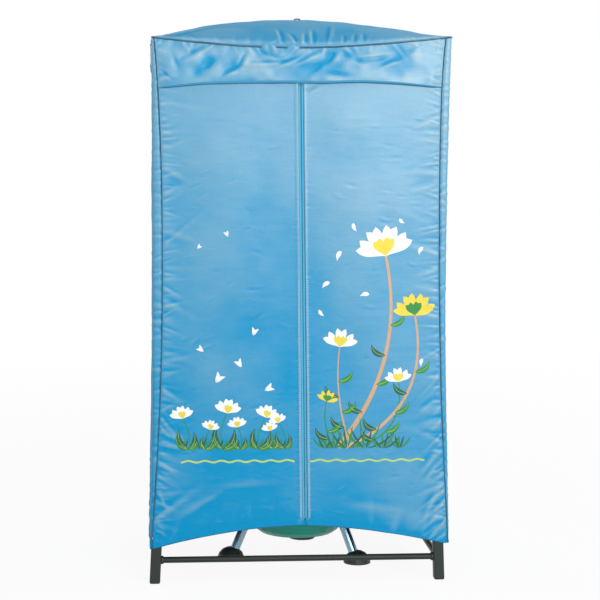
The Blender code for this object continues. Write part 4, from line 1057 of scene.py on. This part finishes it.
def dress_trim(context):
    """Piping cords, turned hems and the small loop on the crown."""
    look = context.scene.dryer_cover
    piping = twill("piping_cloth", look.piping, 0.0016)
    for name, face in (("front", -1), ("back", 1)):
        lines = corner_cord(-1, face), corner_cord(1, face), crown_cord(face)
        cord = joined(f"piping_{name}_cord", [
            sweep(f"{name}_cord_{k}", line, piping, PIPING_R * CORD_SHARES[k])
            for k, line in enumerate(lines)])
        worn(cord, "stand", "piping_cord", f"piping_{name}")
    cloth = bpy.data.materials["cover_satin"]
    # Deep blue for the hems' folds, a painted shade under each turned hem
    painted_hem_shade = twill("hem_painted_shade_cloth", srgb(22, 104, 146), 0.0020, 0.6)

    def hem(name, line, facing, body):
        """A turned hem along a panel's lower edge, its fold in shade."""
        pieces = [sweep(f"{name}_{part}", line + (0, 0, rise), mat, half_w, half_t, facing, sides)
                  for part, rise, mat, half_w, half_t, sides in (
                      ("band", 0.86 * HEM_HALF, cloth, HEM_HALF, 0.0009, 12),
                      ("fold", 0.0009, painted_hem_shade, 0.0011, 0.0012, 8))]
        worn(joined(name, pieces), body, "cover_cloth")

    for name, side, body in DOORS:
        hem(f"door_{name}_hem", door_points(side, look)[0][1:-1, 0], (0, -1, 0), body)
    hem("back_hem", back_points(look)[0][1:-1, 0], (0, 1, 0), "stand")
    for name, side, _ in DOORS:
        line = side_points(side, look)[0][2:-2, 0]
        facing = np.cross(np.gradient(line, axis=0), (0, 0, 1.0))
        facing *= np.sign((facing * line).sum(axis=1, keepdims=True))
        facing[np.linalg.norm(facing, axis=1) < 1e-9] = (side, 0, 0)
        hem(f"side_{name}_hem", line, facing, "stand")
    # The flap's lower edge gets a rolled hem in a deeper blue, a painted shadow under the flap,
    # tallest in the middle and thin at its ends
    flap = valance_points(look)[0][1:-1, 0]
    tall = 0.0014 + 0.0016 * np.sin(np.pi * np.linspace(0, 1, len(flap))) ** 0.5
    flap = flap + tall[:, None] * (0, 0, 0.7)
    shade = twill("flap_hem_painted_shadow_cloth", srgb(44, 150, 196), 0.0020, 0.5)
    edge = sweep("front_flap_hem", flap, shade, tall, 0.0008, (0, -1, 0), 12)
    worn(edge, "stand", "cover_cloth")

    low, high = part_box("top_loop")
    y = (low.y + high.y) / 2
    x = np.linspace(low.x + 0.0008, high.x - 0.0008, 24)
    arch = 0.0022 * np.sin(np.pi * np.linspace(0, 1, 24)) ** 0.6
    crown = cloth_tree("cover_top_cloth")
    seat = [crown.ray_cast(Vector((k, y, 2.0)), Vector((0, 0, -1)))[0].z for k in x]
    line = np.stack([x + 0.004, np.full_like(x, y), np.array(seat) + 0.0006 + arch], axis=1)
    webbing = twill("loop_webbing", tint(look.piping, 0.35), 0.0014)
    loop = sweep("top_loop_webbing", line, webbing, (high.y - low.y) / 2 - 0.0004, 0.0016,
                 (0, 0, 1), 12)
    worn(loop, "stand", "piping_cord", "top_loop")


# Zip
def dress_zip(context):
    """Woven tapes, the nylon coil, the end piece behind the flap, the slider and its pull."""
    look = context.scene.dryer_zip
    tape = twill("zip_tape_weave", look.tape, 0.0016)
    coil = moulded("zip_coil", look.coil, 1400.0, 0.35, 1.3)
    z = lerp(ZIP_Z_HEM, ZIP_Z_TOP, np.linspace(0, 1, 260)[None, :])
    u = np.linspace(0, 1, 7)[:, None]
    inner = TEETH_GAP / 2
    wide = ZIP_OPEN / 2 + TAPE_UNDER - inner
    height = np.linspace(ZIP_Z_HEM + 0.002, ZIP_Z_TOP - 0.002, 40)
    for name, side, body in DOORS:
        x = zip_x(z) + side * (inner + u * wide)
        rib = 0.00012 * np.cos(4 * np.pi * u) + 0.0001 * waves(x, z, 0.02, 161)
        points = np.stack([x, -(TAPE_FACE_Y + rib), z + 0 * u], axis=-1)
        obj = worn(sheet(f"zip_tape_{name}_weave", (points, 0.5), (0, -1, 0), tape), body,
                   "zip_tape", f"zip_tape_{name}")
        line = np.stack([zip_x(height) + side * (inner + COIL_HALF[0]),
                         np.full(40, -(TAPE_FRONT_Y - 0.0003)),
                         height + (look.pitch / 2 if side > 0 else 0)], axis=1)
        worn(repeat(f"zip_coil_{name}", [line], look.pitch, COIL_HALF, coil), body, "zip_tape")
    low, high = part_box("zip_head_tape")
    edges = np.array((low.x + 0.0014, -inner - 0.005, inner - 0.005, high.x - 0.0014))
    rows = np.linspace(low.z + 0.0004, high.z - 0.0004, 34)
    lean = (ZIP_X_TOP - ZIP_X_HEM) / (ZIP_Z_TOP - ZIP_Z_HEM)
    x = edges[:, None] + lean * (rows - rows.mean())
    points = np.stack([x, np.full_like(x, -TAPE_FACE_Y), np.broadcast_to(rows, x.shape)], axis=-1)
    obj = sheet("zip_end_tape", (points, 0.5), (0, -1, 0), tape,
                skip=lambda i, j: i == 1 and j < END_TAPE_SLOT)
    worn(obj, "stand", "zip_tape", "zip_head_tape")
    steel = bright("zip_metal_finish", srgb(120, 124, 130), 0.30)
    for node in ("zip_slider", "zip_pull"):
        refinish(node, steel)


def refinish(node, mat):
    """A CAD node keeps its shape and gets a better finish."""
    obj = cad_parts[node]
    if not obj.material_slots:
        obj.data.materials.append(mat)
    for slot in obj.material_slots:
        slot.material = mat


# Stitching
def surface_line(tree, xs, zs, face=-1, lift=LINE_LIFT):
    """Points on the cloth in front of, or behind, the given x and z."""
    line = []
    for x, z in zip(xs, zs):
        hit = tree.ray_cast(Vector((x, face * 0.5, z)), Vector((0, -face, 0)))
        if hit[0] is not None:
            line.append(hit[0] + Vector((0, face * lift, 0)))
    return line


# Beaded rows beside the zip: distance from its opening, height they reach, points
ZIP_ROWS_FROM_Z, ZIP_ROWS_TO_Z = 0.172, 1.262
BEADED_ROWS = ((0.0036, ZIP_ROWS_TO_Z, 420), (0.0064, 0.780, 240))

# Thin rows: distance from the zip's opening, a seam, a hem's end and a flap's end, and height
# above a hem and the flap's edge
ZIP_ROW_OUT, SEAM_ROW_IN, HEM_ROW_IN, FLAP_ROW_IN = 0.0105, 0.0035, 0.008, 0.0045
HEM_ROW_UP, FLAP_ROW_UP = 0.0112, 0.0085


def dress_stitching(context):
    """Rows of stitches beside the zip, round the hem, along the seams and on the flap."""
    look = context.scene.dryer_cover
    cotton = thread("blue_thread", srgb(58, 156, 206))
    # Pale thread for the beads beside the zip: real stitches, their pale colour also a painted
    # highlight on the zip's puckered edges
    pale = thread("pale_thread", srgb(142, 200, 232))

    def stitch(name, rows, body):
        worn(repeat(name, rows, look.stitch * 1.35, (0.00028, 0.00028, look.stitch / 2), cotton,
                    0.10), body, "cover_cloth")

    for name, side, body in DOORS:
        tree = cloth_tree(f"door_{name}_cloth")
        beads = []
        for out, top, count in BEADED_ROWS:
            zs = np.linspace(ZIP_ROWS_FROM_Z, top, count)
            beads.append(surface_line(tree, zip_x(zs) + side * (ZIP_OPEN / 2 + out), zs))
        worn(repeat(f"zip_{name}_edge_stitches", beads, 0.0061, BEAD_HALF, pale, 0.4), body,
             "cover_cloth")
        zs = np.linspace(ZIP_ROWS_FROM_Z, ZIP_ROWS_TO_Z, 420)
        rows = [surface_line(tree, zip_x(zs) + side * (ZIP_OPEN / 2 + ZIP_ROW_OUT), zs)]
        zs = np.linspace(HEM_Z + 0.014, 1.245, 420)
        rows.append(surface_line(tree, side * (seam(side, zs) - SEAM_ROW_IN), zs))
        xs = np.linspace(side * (SEAM_X_HEM - HEM_ROW_IN), ZIP_X_HEM + side * 0.004, 120)
        rows.append(surface_line(tree, xs, hem_z(xs) + HEM_ROW_UP))
        stitch(f"door_{name}_stitches", rows, body)
    flap, back = cloth_tree("front_flap_cloth"), cloth_tree("cover_back_cloth")
    xs = np.linspace(-0.356, 0.356, 240)
    rows = [surface_line(flap, xs, valance_z(xs) + FLAP_ROW_UP)]
    for side in (-1, 1):
        zs = np.linspace(VALANCE_Z + 0.01, 1.372, 40)
        rows.append(surface_line(flap, side * (seam(side, zs) - FLAP_ROW_IN), zs))
        zs = np.linspace(HEM_Z + 0.014, 1.370, 420)
        rows.append(surface_line(back, side * (seam(side, zs) - SEAM_ROW_IN), zs, 1))
    xs = np.linspace(-(SEAM_X_HEM - HEM_ROW_IN), SEAM_X_HEM - HEM_ROW_IN, 240)
    rows.append(surface_line(back, xs, hem_z(xs) + HEM_ROW_UP, 1))
    stitch("cover_stitches", rows, "stand")


# Print
def arc(start, end, bend, count=14):
    """Points from start to end that bow to the left by bend times the distance."""
    t = np.linspace(0, 1, count)[:, None]
    start, end = np.array(start, float), np.array(end, float)
    run = end - start
    side = np.array((-run[1], run[0]))
    return start + run * t + side * bend * 4 * t * (1 - t)


def stem_shape(t):
    return 1 - 0.45 * t


def leaf_shape(t):
    return np.sin(np.pi * t ** 0.8) ** 0.9 + 0.01


def petal_shape(t):
    return np.sin(np.pi * share(t) ** 1.5) ** 0.75 + 0.03


class Printed:
    """Flat shapes of ink laid on a door, gathered into one mesh."""

    def __init__(self, door, inks):
        self.tree = cloth_tree(door)
        self.inks = inks
        self.verts, self.faces, self.index = [], [], []

    def stroke(self, line, half, shape, ink_name, layer=0, across=4):
        line = np.asarray(line, float)
        run = np.gradient(line, axis=0)
        run /= np.maximum(np.linalg.norm(run, axis=1, keepdims=True), 1e-9)
        side = np.stack([-run[:, 1], run[:, 0]], axis=1)
        width = half * shape(np.linspace(0, 1, len(line)))
        start = len(self.verts)
        for point, normal, wide in zip(line, side, width):
            for k in range(across + 1):
                x, z = point + normal * wide * (2 * k / across - 1)
                hit = self.tree.ray_cast(Vector((x, -0.5, z)), Vector((0, 1, 0)))
                if hit[0] is None:
                    raise RuntimeError(f"the print runs off the cloth at {x:.3f}, {z:.3f}")
                lift = PRINT_LIFT + INK_LAYER * layer
                self.verts.append((hit[0].x, hit[0].y - lift, hit[0].z))
        for i in range(len(line) - 1):
            for k in range(across):
                a = start + i * (across + 1) + k
                self.faces.append((a, a + 1, a + across + 2, a + across + 1))
                self.index.append(list(self.inks).index(ink_name))

    def fan(self, at, toward, count, spread, long, half, ink_name, layer=1):
        """Petals that open upwards like a cup."""
        for k in range(count):
            angle = toward + math.radians(spread) * ((k + 0.5) / count - 0.5)
            end = (at[0] + long * math.sin(angle), at[1] + long * math.cos(angle))
            line = arc(at, end, 0.05 if k % 2 else -0.05, 10)
            self.stroke(line, half, petal_shape, ink_name, layer + k % 2)

    def done(self, name, body):
        verts = np.array(self.verts)
        a, b, c = verts[list(self.faces[0][:3])]
        if np.cross(b - a, c - a)[1] > 0:
            self.faces = [face[::-1] for face in self.faces]
        obj = mesh_object(name, verts, self.faces, list(self.inks.values()), None, self.index)
        worn(obj, body, "cover_cloth")


def leaf(art, start, tip, bend, half, ink_name, layer=1):
    """A leaf with its lighter middle vein."""
    line = arc(start, tip, bend, 12)
    art.stroke(line, half, leaf_shape, ink_name, layer)
    art.stroke(line[1:-1], 0.0005, stem_shape, "lime", layer + 1, 1)


def tuft(art, x, z, count, tall, seed):
    """Blades of grass that spread from one place."""
    rng = np.random.default_rng(seed)
    for k in range(count):
        turn = lerp(-1.0, 1.0, (k + 0.5) / count) + rng.uniform(-0.15, 0.15)
        long = tall * rng.uniform(0.6, 1.1)
        foot = (x + 0.004 * turn, z + 0.002 * abs(turn))
        tip = (foot[0] + long * math.sin(turn), foot[1] + long * math.cos(turn))
        art.stroke(arc(foot, tip, -0.12 * turn, 10), 0.0026, leaf_shape,
                   "dark" if k % 2 else "green", 1)


def sprig(art, x, z, tall, lean, cup):
    """A low plant: a stem, four leaves and a small cup of petals."""
    top = (x + lean * tall, z + tall)
    art.stroke(arc((x, z), top, 0.10 * (1 if lean > 0 else -1)), 0.0016, stem_shape, "green")
    for side, rise, ink_name in ((-1, 0.42, "green"), (1, 0.56, "dark"), (1, 0.30, "green"),
                                 (-1, 0.66, "dark")):
        reach = (0.20 + 0.4 * (0.7 - rise)) * side + lean * 0.5
        tip = (x + reach * tall, z + rise * tall)
        leaf(art, (x, z), tip, -0.20 * side, 0.0056 * tall / 0.08 + 0.0016, ink_name)
    art.fan(top, lean, 6, 150, cup, cup * 0.19, "white", 3)
    art.fan(top, lean, 3, 60, cup * 0.58, cup * 0.13, "yellow", 5)


LOW_SPRIGS = ((-0.282, 0.078, -0.20, 0.034), (-0.240, 0.050, 0.22, 0.026),
              (-0.196, 0.092, 0.12, 0.038), (-0.150, 0.056, -0.15, 0.028),
              (-0.106, 0.080, 0.24, 0.034), (-0.066, 0.046, -0.20, 0.024),
              (-0.036, 0.066, -0.28, 0.026))
PAIRED_PETALS = ((-0.215, 0.520, 0.6, 0.030), (-0.150, 0.560, -0.5, 0.024),
                 (-0.090, 0.500, 1.1, 0.026), (-0.245, 0.600, -0.9, 0.020),
                 (-0.120, 0.640, 0.3, 0.022), (-0.262, 0.860, 0.8, 0.014),
                 (-0.185, 0.890, -0.4, 0.016))
# Foot, across and up to the head, bow, cup, petals, ink, half the stem's width, stem ink
TALL_STEMS = ((0.098, 0.215, 0.842, -0.12, 0.078, 8, "white", 0.0060, "tan"),
              (0.118, 0.292, 0.690, -0.20, 0.058, 7, "yellow", 0.0046, "tan"),
              (0.132, 0.100, 0.610, 0.06, 0.048, 6, "white", 0.0024, "tan"),
              (0.146, 0.252, 0.520, -0.22, 0.038, 6, "white", 0.0020, "green"),
              (0.088, 0.068, 0.470, 0.10, 0.030, 5, "yellow", 0.0018, "green"))
DRIFTING_PETALS = ((0.055, 0.760, 0.9, 0.024), (0.092, 0.830, 0.4, 0.026),
                   (0.140, 0.905, -0.4, 0.022), (0.060, 0.690, -0.7, 0.020),
                   (0.150, 0.740, 1.4, 0.024), (0.300, 0.845, 0.5, 0.022),
                   (0.262, 0.925, -0.8, 0.018), (0.310, 0.560, 0.2, 0.020))
# Tufts between the tall stems: x, blades, height
TUFTS = ((0.066, 5, 0.040), (0.088, 5, 0.060), (0.122, 7, 0.074), (0.168, 6, 0.088),
         (0.214, 6, 0.056), (0.256, 5, 0.040))
SPRIG_FOOT_Z, STEM_FOOT_Z, TUFT_FOOT_Z, WAVED_Z = 0.350, 0.352, 0.348, 0.318


def waved_line(art, start, end):
    x = np.linspace(start, end, 90)
    art.stroke(np.stack([x, WAVED_Z + 0.0022 * np.sin(x * 150)], axis=1), 0.0023, np.ones_like,
               "lime", 1, 2)


def dress_print(context):
    """Sprigs, tall bowed stems with open cups, drifting petals and a waved line, in flat inks."""
    look = context.scene.dryer_print
    inks = {key: ink(f"{key}_ink", getattr(look, key))
            for key in ("white", "yellow", "green", "dark", "lime", "tan")}
    left = Printed("door_left_cloth", inks)
    for k, (x, tall, lean, cup) in enumerate(LOW_SPRIGS):
        tuft(left, x - 0.012, SPRIG_FOOT_Z, 5, 0.034, 201 + k)
        sprig(left, x, SPRIG_FOOT_Z, tall, lean, cup)
    for x, z, angle, size in PAIRED_PETALS:
        for side in (-1, 1):
            turn = angle + side * 0.42
            end = (x + size * math.sin(turn), z + size * math.cos(turn))
            left.stroke(arc((x, z), end, 0.12 * side, 10), size * 0.18, leaf_shape, "white", 1)
    waved_line(left, -0.302, -0.012)
    left.done("print_left", "left_door")

    right = Printed("door_right_cloth", inks)
    for k, (foot, x, z, bend, cup, count, name, half, stem) in enumerate(TALL_STEMS):
        line = arc((foot, STEM_FOOT_Z), (x, z), bend, 40)
        right.stroke(line, half, stem_shape, stem)
        toward = math.atan2(line[-1][0] - line[-4][0], line[-1][1] - line[-4][1])
        right.fan((x, z), toward, count, 160, cup, cup * 0.17, name, 3)
        right.fan((x, z), toward, 4, 90, cup * 0.62, cup * 0.13,
                  "yellow" if name == "white" else "green", 5)
        for j, along in enumerate((8, 14, 20, 26)[:4 if k < 3 else 2]):
            side = 1 if j % 2 else -1
            tip = (line[along][0] + side * 0.036, line[along][1] + 0.028)
            leaf(right, line[along], tip, -0.22 * side, 0.0072, "green" if j % 2 else "dark")
    for k, (x, count, tall) in enumerate(TUFTS):
        tuft(right, x, TUFT_FOOT_Z, count, tall, 231 + k)
    for x, z, angle, size in DRIFTING_PETALS:
        end = (x + size * math.sin(angle), z + size * math.cos(angle))
        right.stroke(arc((x, z), end, 0.15, 10), size * 0.22, petal_shape, "white", 1)
    waved_line(right, 0.028, 0.322)
    right.done("print_right", "right_door")


# Frame
COLLAR = ((0.0084, 0.0), (0.0100, 0.0), (0.0107, 0.0006), (0.0107, 0.0060), (0.0100, 0.0068),
          (0.0084, 0.0068))
COLLAR_FROM_X = 0.3521
COLLAR_FROM_Y = 0.2371


def dress_frame(context):
    """Finishes of the feet, corner pieces, rails, posts and rods, and collars on the rail ends."""
    look = context.scene.dryer_frame
    plastic = moulded("moulded_foot", look.moulded, 800.0, 0.46, 1.7)
    enamel = painted("black_enamel", look.painted)
    tube = bright("zinc_tube", look.tube, 0.30)
    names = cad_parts
    for node in names:
        if node.startswith(("foot_", "top_corner_")):
            refinish(node, plastic)
        elif node.startswith("base_rail_"):
            refinish(node, enamel)
        elif node.startswith(("post_", "top_rail_", "clothes_rod_")):
            refinish(node, tube)
    low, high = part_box("base_rail_front")
    z = (low.z + high.z) / 2
    collars = []
    for across in (-1, 1):
        for back in (-1, 1):
            for axis, side, start in ((0, across, COLLAR_FROM_X), (1, back, COLLAR_FROM_Y)):
                profile = [(r, -side * h) for r, h in COLLAR]
                centre = [across * SPAN_X / 2, back * SPAN_Y / 2, z]
                centre[axis] = side * start
                name = f"collar_{len(collars)}"
                collars.append(turned(name, profile, centre, axis, plastic, 40))
    worn(joined("rail_collars", collars), "stand", "black_plastic")


# Blower
RIM_BAND = ((0.1486, -0.0045), (0.1500, -0.0045), (0.1510, -0.0036), (0.1510, 0.0036),
            (0.1500, 0.0045), (0.1486, 0.0045))
SCREW_R = 0.0024
DIAL_R = 0.0212
DIAL_MARKS, DIAL_MARK_R = 11, 0.0009


def dress_blower(context):
    """Finishes of the blower, and its rim band, screws and dial marks."""
    look = context.scene.dryer_blower
    body = swirled("blower_green_gloss", look.body)
    black = moulded("blower_black", srgb(44, 50, 50), 700.0, 0.42, 1.8)
    chrome = bright("bright_leg", look.legs, 0.15)
    steel = bright("plain_steel", srgb(170, 172, 174), 0.34)
    white = moulded("knob_white", srgb(226, 226, 220), 900.0, 0.38, 0.9)
    red = moulded("switch_red", srgb(176, 30, 28), 900.0, 0.30, 1.3)
    fins = bright("heater_fin_metal", srgb(150, 140, 126), 0.45)
    for mat, nodes in (
            (body, ("blower_bowl", "blower_shell", "intake_grille")),
            (black, ("outlet_grille", "fan_impeller", "control_panel", "cord_gland",
                     "leg_foot_left", "leg_foot_right", "leg_foot_back")),
            (steel, ("motor", "motor_shaft", "motor_bracket", "heater_frame")),
            (fins, ("heater_core",)), (white, ("timer_knob", "timer_body")),
            (red, ("power_switch", "indicator_lamp")),
            (chrome, ("blower_leg_left", "blower_leg_right", "blower_leg_back"))):
        for node in nodes:
            refinish(node, mat)
    low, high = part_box("blower_bowl")
    x, y, z = (low.x + high.x) / 2, (low.y + high.y) / 2, high.z
    worn(turned("blower_rim_band", RIM_BAND, (x, y, z), 2, black, 120), "stand", "black_plastic")
    reach = RIM_BAND[2][0]
    angle = np.linspace(0.35, 0.35 + 2 * np.pi * (1 - 1 / look.screws), 120)
    line = np.stack([x + reach * np.cos(angle), y + reach * np.sin(angle), np.full(120, z)],
                    axis=1)
    step = reach * (angle[-1] - angle[0]) / (look.screws - 1) * 0.999
    worn(repeat("blower_screws", [line], step, (SCREW_R,) * 3, steel), "stand", "black_steel")
    low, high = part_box("timer_knob")
    panel = tree_of(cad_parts["control_panel"].data)
    angle = np.radians(np.linspace(-140, 140, 80))
    marks = surface_line(panel, (low.x + high.x) / 2 + DIAL_R * np.sin(angle),
                         (low.z + high.z) / 2 + DIAL_R * np.cos(angle), lift=0.0)
    step = DIAL_R * (angle[-1] - angle[0]) / (DIAL_MARKS - 1) * 0.995
    worn(repeat("dial_marks", [marks], step, (DIAL_MARK_R,) * 3, white), "stand",
         "white_plastic")


# Stage
CAMERA_AT = (-0.4023, -4.7000, 1.2000)
LENS = 106.3
YAW, PITCH, ROLL = 0.0901, 0.1052, 0.0083
FLOOR_HALF = 40.0
# Place, target, size, and how many times the fill lamps' watts; the first is the key lamp
LAMPS = {
    "front_lamp": ((1.45, -4.0, 2.05), (0.10, -0.25, 1.00), 2.6, None),
    "left_lamp": ((-2.8, -2.0, 1.2), (0.0, 0.0, 0.8), 1.6, 1.0),
    "back_left_lamp": ((-2.0, 3.0, 2.4), (0.0, 0.2, 0.8), 2.0, 2.5),
    "back_right_lamp": ((2.6, 2.2, 2.0), (0.1, 0.1, 0.8), 2.0, 2.5),
    "top_lamp": ((0.6, -0.6, 3.8), (0.0, 0.0, 1.4), 1.2, 1.7),
}


def lamp(name, at, target, size, watts):
    light = bpy.data.lights.new(name, 'AREA')
    light.shape = 'SQUARE'
    light.size = size
    light.energy = watts
    obj = link(bpy.data.objects.new(name, light))
    obj.location = at
    obj.rotation_euler = (Vector(target) - Vector(at)).to_track_quat('-Z', 'Y').to_euler()
    obj.visible_camera = False


def set_stage(context):
    """Camera, white surroundings, pale floor and soft lamps."""
    look = context.scene.dryer_stage
    scene = context.scene
    scene.view_settings.view_transform = 'Standard'
    cam = bpy.data.cameras.new("photo_camera")
    cam.sensor_width = 36.0
    cam.lens = LENS
    cam.clip_end = 100.0
    obj = link(bpy.data.objects.new("photo_camera", cam))
    obj.location = CAMERA_AT
    turn = Matrix.Rotation(-YAW, 3, 'Z') @ Matrix.Rotation(math.pi / 2 - PITCH, 3, 'X')
    obj.rotation_euler = (turn @ Matrix.Rotation(ROLL, 3, 'Z')).to_euler()
    scene.camera = obj

    w = Shade("white_surroundings", "worlds")
    strength = w.node('ShaderNodeMapRange', sockets={
        "Value": w.seen("Camera", "Glossy", "Transmission"), "To Min": look.sky, "To Max": 1.0})
    sky = w.node('ShaderNodeBackground', sockets={"Color": (1, 1, 1),
                                                  "Strength": strength.outputs["Result"]})
    w.node('ShaderNodeOutputWorld', sockets={"Surface": sky.outputs[0]})
    scene.world = w.block

    s = Shade("pale_floor")
    flat = s.node('ShaderNodeBsdfDiffuse', sockets={"Color": (0.90, 0.90, 0.90)})
    glow = s.node('ShaderNodeEmission', sockets={"Color": (1, 1, 1), "Strength": 1.0})
    far = s.node('ShaderNodeVectorMath', {"operation": 'LENGTH'}, {0: s.where()})
    fade = Value(s, far.outputs["Value"]).step(1.2, 4.5)
    blend = s.node('ShaderNodeMixShader', sockets={
        0: s.seen("Camera", "Glossy") * (fade * 0.08 + 0.92), 1: flat.outputs[0],
        2: glow.outputs[0]})
    s.node('ShaderNodeOutputMaterial', sockets={"Surface": blend.outputs[0]})
    half = FLOOR_HALF
    corners = (-half, -half, 0), (half, -half, 0), (half, half, 0), (-half, half, 0)
    mesh_object("floor", corners, [(0, 1, 2, 3)], [s.block])
    for name, (at, target, size, fills) in LAMPS.items():
        lamp(name, at, target, size, look.key if fills is None else fills * look.fill)


# Operators and panel
def operator(idname, label, work):
    """One Operator class for a step of the making."""
    def execute(self, context):
        work(context)
        return {'FINISHED'}

    return type(f"DRYER_OT_{idname}", (bpy.types.Operator,), {
        "bl_idname": f"dryer.{idname}", "bl_label": label, "bl_options": {'REGISTER', 'UNDO'},
        "__doc__": work.__doc__, "execute": execute})


STEPS = (
    ("stage", "Set the stage", set_stage),
    ("frame", "Finish the frame", dress_frame),
    ("cover", "Hang the cover", dress_cover),
    ("trim", "Sew on the trim", dress_trim),
    ("zip", "Fit the zip", dress_zip),
    ("stitching", "Stitch the seams", dress_stitching),
    ("print", "Print the doors", dress_print),
    ("blower", "Finish the blower", dress_blower),
)
OPERATORS = [operator(*step) for step in STEPS]


class DRYER_PT_panel(bpy.types.Panel):
    """Lists the steps and the values they use."""
    bl_label = "Clothes dryer"
    bl_idname = "DRYER_PT_panel"
    bl_space_type = 'VIEW_3D'
    bl_region_type = 'UI'
    bl_category = "Dryer"

    def draw(self, context):
        for op in OPERATORS:
            self.layout.operator(op.bl_idname)
        for key, group in LOOKS.items():
            box = self.layout.box()
            for prop in group.__annotations__:
                box.prop(getattr(context.scene, key), prop)


def register():
    for cls in (*LOOKS.values(), *OPERATORS, DRYER_PT_panel):
        bpy.utils.register_class(cls)
    for key, group in LOOKS.items():
        setattr(bpy.types.Scene, key, PointerProperty(type=group))


def unregister():
    for key in LOOKS:
        delattr(bpy.types.Scene, key)
    for cls in reversed((*LOOKS.values(), *OPERATORS, DRYER_PT_panel)):
        bpy.utils.unregister_class(cls)


def main():
    register()
    for idname, _, _ in STEPS:
        getattr(bpy.ops.dryer, idname)()


if __name__ == "__main__":
    main()
